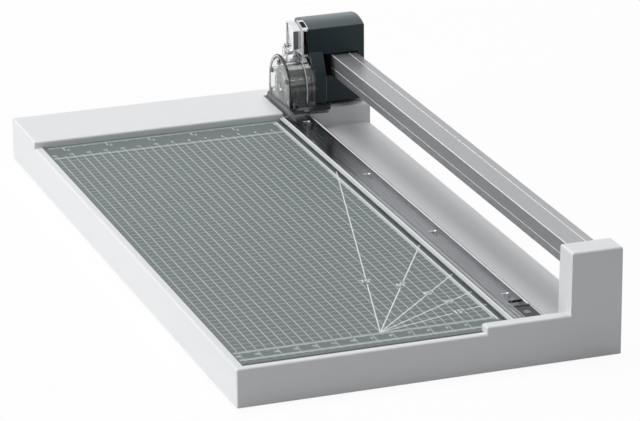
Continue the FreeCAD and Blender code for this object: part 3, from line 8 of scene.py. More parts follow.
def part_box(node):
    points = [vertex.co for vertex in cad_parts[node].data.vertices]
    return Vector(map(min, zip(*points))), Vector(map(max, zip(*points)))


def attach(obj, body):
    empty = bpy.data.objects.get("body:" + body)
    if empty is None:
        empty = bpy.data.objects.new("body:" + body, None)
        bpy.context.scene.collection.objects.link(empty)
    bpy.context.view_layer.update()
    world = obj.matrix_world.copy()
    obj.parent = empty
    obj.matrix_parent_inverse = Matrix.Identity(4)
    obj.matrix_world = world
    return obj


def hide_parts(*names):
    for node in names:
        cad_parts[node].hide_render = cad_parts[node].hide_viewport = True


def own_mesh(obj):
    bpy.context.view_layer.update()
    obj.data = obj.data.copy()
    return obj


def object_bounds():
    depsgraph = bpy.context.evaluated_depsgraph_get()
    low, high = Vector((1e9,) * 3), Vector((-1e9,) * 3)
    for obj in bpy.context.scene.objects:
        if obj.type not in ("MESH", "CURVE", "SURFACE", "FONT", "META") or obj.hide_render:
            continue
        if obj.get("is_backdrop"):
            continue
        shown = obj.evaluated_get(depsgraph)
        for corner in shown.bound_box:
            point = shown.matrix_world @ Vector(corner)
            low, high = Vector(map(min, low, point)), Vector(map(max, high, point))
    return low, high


bl_info = {
    "name": "Rotary Paper Trimmer",
    "version": (1, 0, 0),
    "blender": (4, 5, 0),
    "location": "View3D > Sidebar > Trimmer",
    "description": "Printed measures, finishes and studio for a rotary paper trimmer",
    "category": "Object",
}

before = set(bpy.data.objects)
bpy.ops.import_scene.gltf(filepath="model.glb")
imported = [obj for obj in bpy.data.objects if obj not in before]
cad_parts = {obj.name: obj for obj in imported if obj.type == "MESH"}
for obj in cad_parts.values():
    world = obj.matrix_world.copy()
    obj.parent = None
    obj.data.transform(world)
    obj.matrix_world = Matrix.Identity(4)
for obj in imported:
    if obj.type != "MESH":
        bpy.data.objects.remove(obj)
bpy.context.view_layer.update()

# Places are given in millimetres to the right of the cutting edge, back from the
# front of the base, and up from the bottom of the housing.
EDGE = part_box("counter_blade")[1].x
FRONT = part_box("base_housing")[0].y
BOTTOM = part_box("base_housing")[0].z
MM = 0.001


def spot(x, y, z):
    """A place on the trimmer, in metres in the frame."""
    return Vector((EDGE + x * MM, FRONT + y * MM, BOTTOM + z * MM))


def shade(red, green, blue):
    """The linear colour of a screen colour of 0 to 255."""
    shares = [value / 255 for value in (red, green, blue)]
    return tuple(s / 12.92 if s <= 0.04045 else ((s + 0.055) / 1.055) ** 2.4 for s in shares)


# ---------------------------------------------------------------- settings

def colour_setting(name, description, default):
    return bpy.props.FloatVectorProperty(
        name=name, description=description, default=default, size=3, min=0, max=1, subtype="COLOR")


def length_setting(name, description, default):
    return bpy.props.FloatProperty(
        name=name, description=description, default=default, min=0, unit="LENGTH", precision=5)


class TrimmerColours(bpy.types.PropertyGroup):
    """Colours of the trimmer's plastics, metals and print."""

    body: colour_setting("Body", "Pale plastic of the base", shade(235, 237, 239))
    mat: colour_setting("Measuring plate", "Ground of the measuring plate", shade(107, 118, 117))
    ink: colour_setting("Print", "Lines and numerals on the plate", shade(232, 238, 236))
    head: colour_setting("Head", "Dark plastic of the cutting head", shade(18, 43, 48))
    black: colour_setting("Black parts", "Glides, sockets and clips", shade(38, 40, 42))
    rubber: colour_setting("Feet", "Rubber of the feet", shade(46, 47, 48))


class TrimmerPrint(bpy.types.PropertyGroup):
    """Sizes of the print on the measuring plate."""

    pitch: length_setting("Grid pitch", "Distance between two grid lines", 5 * MM)
    line: length_setting("Line width", "Width of a grid line", 0.27 * MM)
    tick: length_setting("Tick width", "Width of a millimetre tick", 0.42 * MM)
    angle_line: length_setting("Angle line width", "Width of an angle line", 0.62 * MM)
    ruler_line: length_setting("Ruler line width", "Width of the line along the clear strip", 1.0 * MM)
    proud: length_setting("Print height", "How far the ink stands on the plate", 0.02 * MM)


class TrimmerStage(bpy.types.PropertyGroup):
    """The studio round the trimmer."""

    top_power: bpy.props.FloatProperty(
        name="Top light", description="Power of the soft light overhead", default=30, min=0, unit="POWER")
    side_power: bpy.props.FloatProperty(
        name="Side light", description="Power of the soft light on the left", default=22.5, min=0,
        unit="POWER")
    ambient: bpy.props.FloatProperty(
        name="Ambient", description="Strength of the light from all sides", default=0.12, min=0)
    floor_white: bpy.props.FloatProperty(
        name="Floor white", description="Share of plain white in the floor", default=0.94, min=0, max=1)


# ---------------------------------------------------------------- materials

def effect_group(name, inputs, outputs):
    """A shader node group with these named inputs and outputs."""
    group = bpy.data.node_groups.new(name, "ShaderNodeTree")
    for label, kind, value in inputs:
        socket = group.interface.new_socket(name=label, in_out="INPUT", socket_type=kind)
        socket.default_value = value
    for label, kind in outputs:
        group.interface.new_socket(name=label, in_out="OUTPUT", socket_type=kind)
    return group, group.nodes.new("NodeGroupInput"), group.nodes.new("NodeGroupOutput")


def make_node(tree, kind, settings=None, **inputs):
    """A node with its settings, and its inputs set to a value or linked to a socket."""
    node = tree.nodes.new(kind)
    for name, value in (settings or {}).items():
        setattr(node, name, value)
    for name, value in inputs.items():
        socket = node.inputs[int(name[1:])] if name[0] == "_" and name[1:].isdigit() \
            else node.inputs[name.replace("_", " ")]
        if isinstance(value, bpy.types.NodeSocket):
            tree.links.new(value, socket)
        else:
            socket.default_value = value
    return node


def ramp(tree, value, low, high, out_low=0.0, out_high=1.0):
    """Maps low to high of a value to another range, and cuts off beyond it."""
    return make_node(tree, "ShaderNodeMapRange", {"clamp": True}, Value=value, From_Min=low,
                     From_Max=high, To_Min=out_low, To_Max=out_high).outputs["Result"]


def tone(tree, colour, factor):
    """A colour made lighter or darker by a factor."""
    node = tree.nodes.new("ShaderNodeVectorMath")
    node.operation = "SCALE"
    tree.links.new(colour, node.inputs[0])
    tree.links.new(factor, node.inputs["Scale"])
    return node.outputs["Vector"]


def maths(tree, operation, first, second):
    return make_node(tree, "ShaderNodeMath", {"operation": operation}, _0=first, _1=second).outputs[0]


def moulded_skin():
    """Fine spark-eroded grain of a moulded plastic part, with a slight cloudiness."""
    group, given, out = effect_group(
        "Moulded Skin",
        [("Colour", "NodeSocketColor", (0.8, 0.8, 0.8, 1)), ("Roughness", "NodeSocketFloat", 0.4),
         ("Grain", "NodeSocketFloat", 2500.0), ("Unevenness", "NodeSocketFloat", 0.03)],
        [("Colour", "NodeSocketColor"), ("Roughness", "NodeSocketFloat"), ("Height", "NodeSocketFloat")])
    place = group.nodes.new("ShaderNodeTexCoord").outputs["Object"]
    grain = make_node(group, "ShaderNodeTexNoise", Vector=place, Scale=given.outputs["Grain"],
                      Detail=3.0, Roughness=0.6).outputs["Fac"]
    clouds = make_node(group, "ShaderNodeTexNoise", Vector=place, Scale=14.0, Detail=4.0,
                       Roughness=0.55).outputs["Fac"]
    drift = maths(group, "MULTIPLY", maths(group, "SUBTRACT", clouds, 0.5), given.outputs["Unevenness"])
    speck = maths(group, "MULTIPLY", maths(group, "SUBTRACT", grain, 0.5),
                  maths(group, "MULTIPLY", given.outputs["Unevenness"], 0.6))
    factor = maths(group, "ADD", maths(group, "ADD", drift, speck), 1.0)
    group.links.new(tone(group, given.outputs["Colour"], factor), out.inputs["Colour"])
    polish = maths(group, "MULTIPLY", maths(group, "SUBTRACT", clouds, 0.5), 0.14)
    group.links.new(maths(group, "ADD", given.outputs["Roughness"], polish), out.inputs["Roughness"])
    group.links.new(grain, out.inputs["Height"])
    return group


def drawn_metal():
    """Fine streaks left by drawing, rolling or grinding, along the direction that stretches least."""
    group, given, out = effect_group(
        "Drawn Metal",
        [("Colour", "NodeSocketColor", (0.6, 0.6, 0.6, 1)), ("Roughness", "NodeSocketFloat", 0.3),
         ("Stretch", "NodeSocketVector", (4000.0, 60.0, 4000.0)), ("Contrast", "NodeSocketFloat", 0.2)],
        [("Colour", "NodeSocketColor"), ("Roughness", "NodeSocketFloat"), ("Height", "NodeSocketFloat")])
    place = group.nodes.new("ShaderNodeTexCoord").outputs["Object"]
    laid = make_node(group, "ShaderNodeMapping", Vector=place, Scale=given.outputs["Stretch"]).outputs[0]
    streaks = make_node(group, "ShaderNodeTexNoise", Vector=laid, Scale=1.0, Detail=4.0,
                        Roughness=0.65).outputs["Fac"]
    blotches = make_node(group, "ShaderNodeTexNoise", Vector=place, Scale=45.0, Detail=3.0,
                         Roughness=0.5).outputs["Fac"]
    centred = maths(group, "SUBTRACT", streaks, 0.5)
    factor = maths(group, "ADD", maths(group, "MULTIPLY", centred, given.outputs["Contrast"]), 1.0)
    group.links.new(tone(group, given.outputs["Colour"], factor), out.inputs["Colour"])
    rough = maths(group, "ADD", maths(group, "MULTIPLY", centred, 0.25),
                  maths(group, "MULTIPLY", maths(group, "SUBTRACT", blotches, 0.5), 0.15))
    group.links.new(maths(group, "ADD", given.outputs["Roughness"], rough), out.inputs["Roughness"])
    group.links.new(streaks, out.inputs["Height"])
    return group


def handling_marks():
    """A mask of hairline scratches from use, crossing in two directions."""
    group, given, out = effect_group(
        "Handling Marks", [("Density", "NodeSocketFloat", 0.3)], [("Marks", "NodeSocketFloat")])
    place = group.nodes.new("ShaderNodeTexCoord").outputs["Object"]
    masks = []
    for turn, stretch in ((0.5, (900.0, 30.0, 400.0)), (-0.9, (30.0, 1100.0, 500.0))):
        laid = make_node(group, "ShaderNodeMapping", Vector=place, Rotation=(0, 0, turn),
                         Scale=stretch).outputs[0]
        hair = make_node(group, "ShaderNodeTexNoise", Vector=laid, Scale=1.0, Detail=2.0,
                         Roughness=0.5).outputs["Fac"]
        masks.append(ramp(group, hair, 0.68, 0.74))
    patch = make_node(group, "ShaderNodeTexNoise", Vector=place, Scale=25.0, Detail=2.0,
                      Roughness=0.5).outputs["Fac"]
    both = maths(group, "MAXIMUM", masks[0], masks[1])
    sparse = maths(group, "MULTIPLY", both, ramp(group, patch, 0.4, 0.7))
    group.links.new(maths(group, "MULTIPLY", sparse, given.outputs["Density"]), out.inputs["Marks"])
    return group


def new_material(name, roughness, **shader):
    """A material with a Principled surface, its plain values on the shader's own sockets."""
    material = bpy.data.materials.new(name)
    material.use_nodes = True
    tree = material.node_tree
    surface = tree.nodes["Principled BSDF"]
    surface.inputs["Roughness"].default_value = roughness
    for socket, value in shader.items():
        surface.inputs[socket.replace("_", " ")].default_value = value
    return material, tree, surface


def group_node(tree, name, **inputs):
    node = tree.nodes.new("ShaderNodeGroup")
    node.node_tree = bpy.data.node_groups[name]
    for socket, value in inputs.items():
        node.inputs[socket].default_value = value
    return node


def raise_surface(tree, surface, height, depth):
    """Feeds a height of so many metres to the surface's normal."""
    bump = make_node(tree, "ShaderNodeBump", Height=height, Strength=1.0, Distance=depth)
    tree.links.new(bump.outputs["Normal"], surface.inputs["Normal"])


def hand_marked(tree, surface, roughness, density):
    """Dulls a surface along the hairline marks of use, and gives back their mask."""
    marks = group_node(tree, "Handling Marks", Density=density).outputs["Marks"]
    tree.links.new(maths(tree, "ADD", roughness, marks), surface.inputs["Roughness"])
    return marks


def moulded(name, colour, roughness, grain=2500.0, depth=0.012 * MM, unevenness=0.03, marks=0.15,
            **shader):
    """Moulded plastic with its grain, cloudiness and a few hairline marks."""
    material, tree, surface = new_material(name, roughness, **shader)
    skin = group_node(tree, "Moulded Skin", Colour=(*colour, 1), Roughness=roughness,
                      Grain=grain, Unevenness=unevenness)
    hairlines = hand_marked(tree, surface, skin.outputs["Roughness"], marks)
    lighter = maths(tree, "ADD", maths(tree, "MULTIPLY", hairlines, 0.25), 1.0)
    tree.links.new(tone(tree, skin.outputs["Colour"], lighter), surface.inputs["Base Color"])
    raise_surface(tree, surface, skin.outputs["Height"], depth)
    return material


def metal(name, colour, roughness, stretch=(4000.0, 60.0, 4000.0), contrast=0.15, depth=0.003 * MM,
          **shader):
    """Bare metal with the streaks of its making."""
    material, tree, surface = new_material(name, roughness, **{"Metallic": 1.0, **shader})
    drawn = group_node(tree, "Drawn Metal", Colour=(*colour, 1), Roughness=roughness,
                       Stretch=stretch, Contrast=contrast)
    hand_marked(tree, surface, drawn.outputs["Roughness"], 0.2)
    tree.links.new(drawn.outputs["Colour"], surface.inputs["Base Color"])
    raise_surface(tree, surface, drawn.outputs["Height"], depth)
    return material


def tinted(material, colour, mask):
    """Lays a second colour over a material's own where the mask says."""
    tree = material.node_tree
    surface = tree.nodes["Principled BSDF"]
    mix = make_node(tree, "ShaderNodeMix", {"data_type": "RGBA"}, Factor=mask)
    tree.links.new(surface.inputs["Base Color"].links[0].from_socket, mix.inputs[6])
    mix.inputs[7].default_value = (*colour, 1)
    tree.links.new(mix.outputs[2], surface.inputs["Base Color"])
    return material


def satin(material, sheen):
    """Paints a paler sheen into a plastic's colour where it is seen at a low angle, standing in for the
    lamps' reflection.
    """
    tree = material.node_tree
    facing = make_node(tree, "ShaderNodeLayerWeight", Blend=0.5).outputs["Facing"]
    return tinted(material, sheen, ramp(tree, facing, 0.35, 0.7))


def shown_through(material, colour, low, high):
    """Paints a dark part that shows through a thin pale wall into the wall's colour, between two corners
    given as places.
    """
    tree = material.node_tree
    place = make_node(tree, "ShaderNodeTexCoord").outputs["Object"]
    along = make_node(tree, "ShaderNodeSeparateXYZ", Vector=place).outputs
    fade = 0.05 * MM
    mask = 1.0
    for axis, start, end in zip("XYZ", low, high):
        mask = maths(tree, "MULTIPLY", mask, ramp(tree, along[axis], start - fade, start + fade))
        mask = maths(tree, "MULTIPLY", mask, ramp(tree, along[axis], end + fade, end - fade))
    return tinted(material, colour, mask)


def honed_edge(name, dark, bright, roughness):
    """Hardened steel with a dark ground top, and a band along its honed cutting edge painted bright white,
    not metal, as the highlight the edge catches.
    """
    material, tree, surface = new_material(name, roughness)
    place = make_node(tree, "ShaderNodeTexCoord").outputs["Object"]
    across = make_node(tree, "ShaderNodeSeparateXYZ", Vector=place).outputs["X"]
    inner, outer, fade = EDGE - 1.65 * MM, EDGE - 0.35 * MM, 0.1 * MM
    band = maths(tree, "MULTIPLY", ramp(tree, across, inner - fade, inner + fade),
                 ramp(tree, across, outer + fade, outer - fade))
    drawn = group_node(tree, "Drawn Metal", Colour=(1, 1, 1, 1), Roughness=roughness,
                       Stretch=(3000.0, 80.0, 3000.0), Contrast=0.12)
    mix = make_node(tree, "ShaderNodeMix", {"data_type": "RGBA"}, Factor=band)
    mix.inputs[6].default_value, mix.inputs[7].default_value = (*dark, 1), (*bright, 1)
    streaked = make_node(tree, "ShaderNodeVectorMath", {"operation": "MULTIPLY"}, _0=mix.outputs[2],
                         _1=drawn.outputs["Colour"]).outputs[0]
    tree.links.new(streaked, surface.inputs["Base Color"])
    tree.links.new(drawn.outputs["Roughness"], surface.inputs["Roughness"])
    tree.links.new(ramp(tree, band, 0.0, 1.0, 0.95, 0.0), surface.inputs["Metallic"])
    raise_surface(tree, surface, drawn.outputs["Height"], 0.003 * MM)
    return material


def clear(name, tint, roughness, marks=0.25):
    """Clear moulded plastic, slightly clouded by handling."""
    material, tree, surface = new_material(name, roughness, Transmission_Weight=1.0, IOR=1.5)
    skin = group_node(tree, "Moulded Skin", Colour=(*tint, 1), Roughness=roughness,
                      Grain=900.0, Unevenness=0.03)
    hand_marked(tree, surface, ramp(tree, skin.outputs["Roughness"], 0.0, 0.2, 0.0, 0.2), marks)
    tree.links.new(skin.outputs["Colour"], surface.inputs["Base Color"])
    raise_surface(tree, surface, skin.outputs["Height"], 0.0008 * MM)
    return material


def thin_clear(name, edge_colour, roughness, faint, strong):
    """Clear thin-walled plastic whose own colour shows only where it is seen at a low angle."""
    material, tree, surface = new_material(name, roughness)
    skin = group_node(tree, "Moulded Skin", Colour=(*edge_colour, 1), Roughness=roughness,
                      Grain=900.0, Unevenness=0.05)
    hand_marked(tree, surface, skin.outputs["Roughness"], 0.25)
    tree.links.new(skin.outputs["Colour"], surface.inputs["Base Color"])
    facing = make_node(tree, "ShaderNodeLayerWeight", Blend=0.5).outputs["Facing"]
    tree.links.new(ramp(tree, facing, 0.7, 0.97, faint, strong), surface.inputs["Alpha"])
    raise_surface(tree, surface, skin.outputs["Height"], 0.002 * MM)
    return material


def dress(material, *nodes):
    """Gives CAD nodes a material."""
    for name in nodes:
        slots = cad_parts[name].data.materials
        slots.clear()
        slots.append(material)


# ---------------------------------------------------------------- mesh helpers

def finish_piece(mesh, name, body, material, smooth=None):
    """Makes a bmesh an object that rides on a body, smooth up to an angle in degrees if one is given."""
    data = bpy.data.meshes.new(name)
    mesh.to_mesh(data)
    mesh.free()
    if smooth is not None:
        for face in data.polygons:
            face.use_smooth = True
        data.set_sharp_from_angle(angle=math.radians(smooth))
    piece = bpy.data.objects.new(name, data)
    bpy.context.scene.collection.objects.link(piece)
    data.materials.append(material)
    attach(piece, body)
    return piece


def put_in_order(mesh):
    """Puts a mesh's corners, edges and faces in an order that is the same each run."""
    askew = Vector((0.83, 0.47, 0.29))
    mesh.verts.sort(key=lambda corner: corner.co.dot(askew))
    mesh.edges.sort(key=lambda edge: (edge.verts[0].co + edge.verts[1].co).dot(askew))
    mesh.faces.sort(key=lambda face: face.calc_center_median().dot(askew))


def add_bar(mesh, low, high):
    """A closed box between two corners, given as places on the trimmer."""
    size = high - low
    bmesh.ops.create_cube(mesh, size=1.0, matrix=Matrix.Translation((low + high) / 2)
                          @ Matrix.Diagonal((*size, 1)))


def bar_piece(name, low, high, finish):
    """A plain bar on the base, between two corners given as places."""
    mesh = bmesh.new()
    add_bar(mesh, low, high)
    finish_piece(mesh, name, "base", bpy.data.materials[finish])


def add_line(mesh, start, end, width, base, top):
    """A closed printed line on a level surface, from start to end as (x, y) in millimetres."""
    (x0, y0), (x1, y1) = start, end
    middle = spot((x0 + x1) / 2, (y0 + y1) / 2, (base + top) / 2)
    length = math.hypot(x1 - x0, y1 - y0) * MM
    turn = Matrix.Rotation(math.atan2(y1 - y0, x1 - x0), 4, "Z")
    bmesh.ops.create_cube(mesh, size=1.0, matrix=Matrix.Translation(middle) @ turn
                          @ Matrix.Diagonal((length, width, (top - base) * MM, 1)))


def add_words(mesh, words, x, y, z, size):
    """Numerals lying on a level surface, centred on x, y, in millimetres."""
    narrow, thick, bold = 0.75, 0.012, 0.035
    curve = bpy.data.curves.new("numerals", "FONT")
    curve.body = words
    curve.size = size
    curve.align_x = "CENTER"
    curve.align_y = "CENTER"
    curve.resolution_u = 2
    curve.extrude = thick
    curve.offset = bold * size / 2
    holder = bpy.data.objects.new("numerals", curve)
    data = bpy.data.meshes.new_from_object(holder)
    bpy.data.objects.remove(holder)
    bpy.data.curves.remove(curve)
    data.transform(Matrix.Translation(spot(x, y, z)) @ Matrix.Diagonal((narrow * MM, MM, MM, 1)))
    mesh.from_mesh(data)
    bpy.data.meshes.remove(data)


# ---------------------------------------------------------------- finishes and print

PLATE_TOP = 19.9
PLATE_LEFT = -163.5
PRINT_FRONT = 22.7
PRINT_BACK = 337.8
LOWER_ROW = 13.0
INCH_ROW = 358.2
RULER_LINE = -23.5
RULER_END = 357
STRIP_FOOT = -20.9
SUNK = 0.02
INCH = 25.4

# Parts painted into the clear frame's colour where they show through it on the head's left side, from one
# corner to the other
HEAD_WALL_BEHIND = ((-0.8, 364.0, 50.0), (1.0, 366.5, 71.6))
LINER_BEHIND = ((-3.25, 367.2, 70.0), (-0.5, 373.7, 76.0))


class TRIMMER_OT_finishes(bpy.types.Operator):
    """Make the finishes of the plastics, metals and rubber, and give them to the CAD parts"""

    bl_idname = "trimmer.finishes"
    bl_label = "Finishes"

    def execute(self, context):
        colours = context.scene.trimmer_colours
        moulded_skin()
        drawn_metal()
        handling_marks()
        dress(moulded("Pale Housing Plastic", colours.body, 0.38, marks=0.06, unevenness=0.015),
              "base_housing")
        black = moulded("Black Fittings Plastic", colours.black, 0.42, marks=0.12)
        dress(black, "bottom_plate", "rail_sockets", "head_frame", "rear_glide", "spring_retainer")
        dress(moulded("Slot Plastic", shade(10, 10, 11), 0.6, marks=0.05, Specular_IOR_Level=0.12),
              "guide_liner", "latch_button", "front_glide")
        dress(moulded("Clip Plastic", shade(70, 71, 74), 0.15, depth=0.002 * MM), "front_clip")
        dress(metal("Burnished Backing", shade(212, 212, 218), 0.12, contrast=0.03, depth=0.0005 * MM),
              "bed_strip")
        dress(moulded("Wheel Plastic", shade(104, 107, 108), 0.25, unevenness=0.5, grain=900.0),
              "blade_hub")
        moulded("Smoked Wheel Guard", shade(38, 40, 43), 0.3, unevenness=1.1, grain=450.0,
                Specular_IOR_Level=0.15)
        moulded("Arm Web Plastic", shade(128, 129, 131), 0.4, unevenness=0.1)
        # Near-white for painted highlights: the strip's bevel and the drum's bead.
        moulded("Frosted Edge", shade(196, 200, 202), 0.35, depth=0.004 * MM, marks=0.1)
        # Darker plate colour for the painted shadow beside the clear strip.
        moulded("Plate Border", shade(86, 95, 94), 0.5, unevenness=0.05, Specular_IOR_Level=0.35)
        frame_plastic = moulded("Guide Frame Plastic", shade(226, 229, 231), 0.2, depth=0.003 * MM)
        # The head wall and liner seen through the frame are painted into its colour.
        for colour, corners in ((shade(40, 46, 49), HEAD_WALL_BEHIND), (shade(10, 10, 11), LINER_BEHIND)):
            shown_through(frame_plastic, colour, *(spot(*corner) for corner in corners))
        dress(frame_plastic, "guide_frame")
        # Near-white for the arm's painted light: the rib and the sheet under its top.
        moulded("Matt Clear Plastic", shade(250, 251, 252), 0.3, depth=0.003 * MM, marks=0.1)
        # White for the painted glints beside the clamp pins.
        moulded("Mark Paint", shade(228, 228, 230), 0.4, depth=0.002 * MM)
        # The head's colour turns paler at low angles: a painted sheen.
        dress(satin(moulded("Head Plastic", colours.head, 0.36, grain=3500.0, depth=0.006 * MM, marks=0.08,
                            Specular_IOR_Level=0.3), shade(108, 118, 121)), "head_cover", "blade_shield")
        dress(moulded("Plate Ground", colours.mat, 0.55, grain=1800.0, depth=0.008 * MM, marks=0.08,
                      unevenness=0.05, Specular_IOR_Level=0.35), "measuring_plate")
        moulded("Plate Ink", colours.ink, 0.5, depth=0.002 * MM, unevenness=0.06)
        dress(moulded("Foot Rubber", colours.rubber, 0.8, grain=1400.0, depth=0.03 * MM, marks=0.0,
                      unevenness=0.12), "rubber_feet")
        dress(clear("Clear Plastic", (0.94, 0.95, 0.95), 0.04),
              "cartridge_shell_left", "cartridge_shell_right", "cartridge_catch", "cartridge_screws")
        dress(clear("Strip Plastic", (0.89, 0.9, 0.9), 0.095, marks=0.05), "clamp_strip")
        dress(thin_clear("Arm Clear Plastic", shade(140, 143, 146), 0.05, 0.02, 0.85), "cartridge_carrier")
        dress(clear("Smoked Plastic", (0.12, 0.125, 0.13), 0.08), "cartridge_foot")
        dress(metal("Drawn Aluminium", shade(162, 163, 166), 0.36, stretch=(5000.0, 40.0, 5000.0),
                    Metallic=0.65), "guide_rail")
        # Near-white and hardly metallic: the painted highlights on the rail's polished edges.
        metal("Polished Aluminium", shade(250, 250, 250), 0.25, stretch=(5000.0, 40.0, 5000.0),
              contrast=0.05, Metallic=0.1)
        dress(metal("Ground Steel", shade(202, 203, 204), 0.22), "rotary_blade")
        # The band along the knife's cutting edge is a painted highlight.
        dress(honed_edge("Honed Knife Steel", shade(122, 123, 127), shade(255, 255, 255), 0.24),
              "counter_blade")
        dress(metal("Plated Screw Steel", shade(176, 177, 178), 0.3, stretch=(1500.0, 1500.0, 1500.0)),
              "bottom_screws", "counter_blade_screws", "clip_screw", "rail_screws", "clamp_pins",
              "clamp_push_nuts", "glide_screws", "head_screws", "retainer_screws", "foot_screws",
              "blade_axle", "axle_clip", "catch_pin", "hub_cap")
        metal("Spring Wire", shade(150, 150, 152), 0.35, stretch=(900.0, 900.0, 900.0))
        return {"FINISHED"}


class TRIMMER_OT_measuring_print(bpy.types.Operator):
    """Print the grid, the rulers, the angle lines and their numerals on the measuring plate"""

    bl_idname = "trimmer.measuring_print"
    bl_label = "Measuring Print"

    SHORT_TICK, LONG_TICK, REAR_TICK = 2.2, 3.2, 3.6
    FINE_INCH_TICK, QUARTER_TICK, HALF_TICK, INCH_TICK = 1.8, 2.6, 3.4, 6.4
    # How far left the ticks of the centimetre rows stand, how far left the lowest row begins, and
    # how many inches the inch row is long
    TICKS = range(25, 163)
    LOWER_ROW_AFTER = 34
    INCHES = 6.4
    FRONT_NUMERAL, REAR_NUMERAL, ANGLE_NUMERAL = 3.4, 3.6, 6.2
    # The grid's rows are finer than its columns, and lie just over them where they cross
    GRID_ROW_WIDTH, GRID_ROW_LIFT = 0.7, 0.004
    ROW_LIFT = 0.012
    ANGLE_START = (-85.0, PRINT_FRONT)
    # The angles in degrees, and how far along each line its label stands
    ANGLES = ((75, 72.5), (60, 68.0), (45, 60.2), (30, 55.5), (15, 49.2))
    LABEL_GAP = 4.2
    ANGLE_LIFT, LAYER = 0.02, 0.003

    def execute(self, context):
        sizes = context.scene.trimmer_print
        ink = bpy.data.materials["Plate Ink"]
        base, top = PLATE_TOP - SUNK, PLATE_TOP + sizes.proud / MM
        self.lay_grid(sizes, ink, base, top)
        self.lay_rows(sizes, ink, base, top + self.ROW_LIFT)
        self.lay_angles(sizes, ink, base, top)
        return {"FINISHED"}

    def lay_grid(self, sizes, ink, base, top):
        mesh = bmesh.new()
        pitch = sizes.pitch / MM
        left, right = PLATE_LEFT + 1, RULER_LINE - 2.5
        step = math.ceil(-RULER_LINE / pitch)
        while -step * pitch > left:
            x = -step * pitch
            add_line(mesh, (x, PRINT_FRONT), (x, PRINT_BACK), sizes.line, base, top)
            step += 1
        rows = round((PRINT_BACK - PRINT_FRONT) / pitch)
        for row in range(1, rows):
            y = PRINT_FRONT + row * (PRINT_BACK - PRINT_FRONT) / rows
            add_line(mesh, (left, y), (right, y), sizes.line * self.GRID_ROW_WIDTH, base,
                     top + self.GRID_ROW_LIFT)
        finish_piece(mesh, "plate_grid", "base", ink)

    def lay_rows(self, sizes, ink, base, top):
        mesh = bmesh.new()
        self.lay_centimetres(mesh, sizes, base, top)
        self.lay_inches(mesh, sizes, base, top)
        self.lay_ruler(mesh, sizes, base, top)
        finish_piece(mesh, "plate_rulers", "base", ink)

    def lay_centimetres(self, mesh, sizes, base, top):
        """Two rows at the front and one at the back, counted to the left from the cutting edge."""
        for mm in self.TICKS:
            centimetre, half = mm % 10 == 0, mm % 5 == 0
            front = self.LONG_TICK if half else self.SHORT_TICK
            rear = self.REAR_TICK if half else self.SHORT_TICK
            add_line(mesh, (-mm, PRINT_BACK), (-mm, PRINT_BACK + rear), sizes.tick, base, top)
            if mm > self.LOWER_ROW_AFTER:
                add_line(mesh, (-mm, LOWER_ROW), (-mm, LOWER_ROW - front), sizes.tick, base, top)
            if centimetre and mm > self.LOWER_ROW_AFTER:
                add_line(mesh, (-mm, PRINT_FRONT), (-mm, LOWER_ROW), sizes.line, base, top)
                add_words(mesh, str(mm // 10), -mm - 1.7, 16.9, top, self.FRONT_NUMERAL)
            else:
                add_line(mesh, (-mm, PRINT_FRONT), (-mm, PRINT_FRONT - front), sizes.tick, base, top)
            if centimetre:
                add_words(mesh, str(mm // 10), -mm - 0.8, PRINT_BACK + 6.0, top, self.REAR_NUMERAL)

    def lay_inches(self, mesh, sizes, base, top):
        """Sixteenths of an inch along the back, counted to the left from the cutting edge."""
        for part in range(1, int(self.INCHES * 16)):
            x = -part * INCH / 16
            if x > RULER_LINE:
                continue
            deep = (self.INCH_TICK if part % 16 == 0 else self.HALF_TICK if part % 8 == 0
                    else self.QUARTER_TICK if part % 4 == 0 else self.FINE_INCH_TICK)
            add_line(mesh, (x, INCH_ROW), (x, INCH_ROW - deep), sizes.tick * 1.3, base, top)
            if part % 16 == 0:
                add_words(mesh, str(part // 16), x + 2.0, INCH_ROW - 6.6, top, self.REAR_NUMERAL)

    def lay_ruler(self, mesh, sizes, base, top):
        """The line along the clear strip, with a tick for each millimetre back from the grid's front."""
        edge = RULER_LINE - sizes.ruler_line / MM / 2
        for mm in range(round(PRINT_FRONT), RULER_END):
            length = 2.3 if mm % 10 == 3 else 1.4
            add_line(mesh, (edge, mm), (edge - length, mm), sizes.tick, base, top)
        add_line(mesh, (RULER_LINE, PRINT_FRONT - 4), (RULER_LINE, RULER_END), sizes.ruler_line, base, top)

    def lay_angles(self, sizes, ink, base, top):
        """Lines fanned out from one point, each a little higher than the last where they cross."""
        mesh = bmesh.new()
        start = Vector(self.ANGLE_START)
        for layer, (degrees, label) in enumerate(self.ANGLES):
            surface = top + self.ANGLE_LIFT + self.LAYER * layer
            slope = math.radians(degrees)
            along = Vector((math.cos(slope), math.sin(slope)))
            reach = (STRIP_FOOT - start.x) / math.cos(slope)
            for near, far in ((0.0, label - self.LABEL_GAP), (label + self.LABEL_GAP, reach)):
                a, b = start + along * near, start + along * far
                add_line(mesh, tuple(a), tuple(b), sizes.angle_line, base, surface)
            middle = start + along * label
            add_words(mesh, f"{degrees}°", middle.x, middle.y, surface, self.ANGLE_NUMERAL)
        finish_piece(mesh, "plate_angle_lines", "base", ink)


# ---------------------------------------------------------------- strip and rail

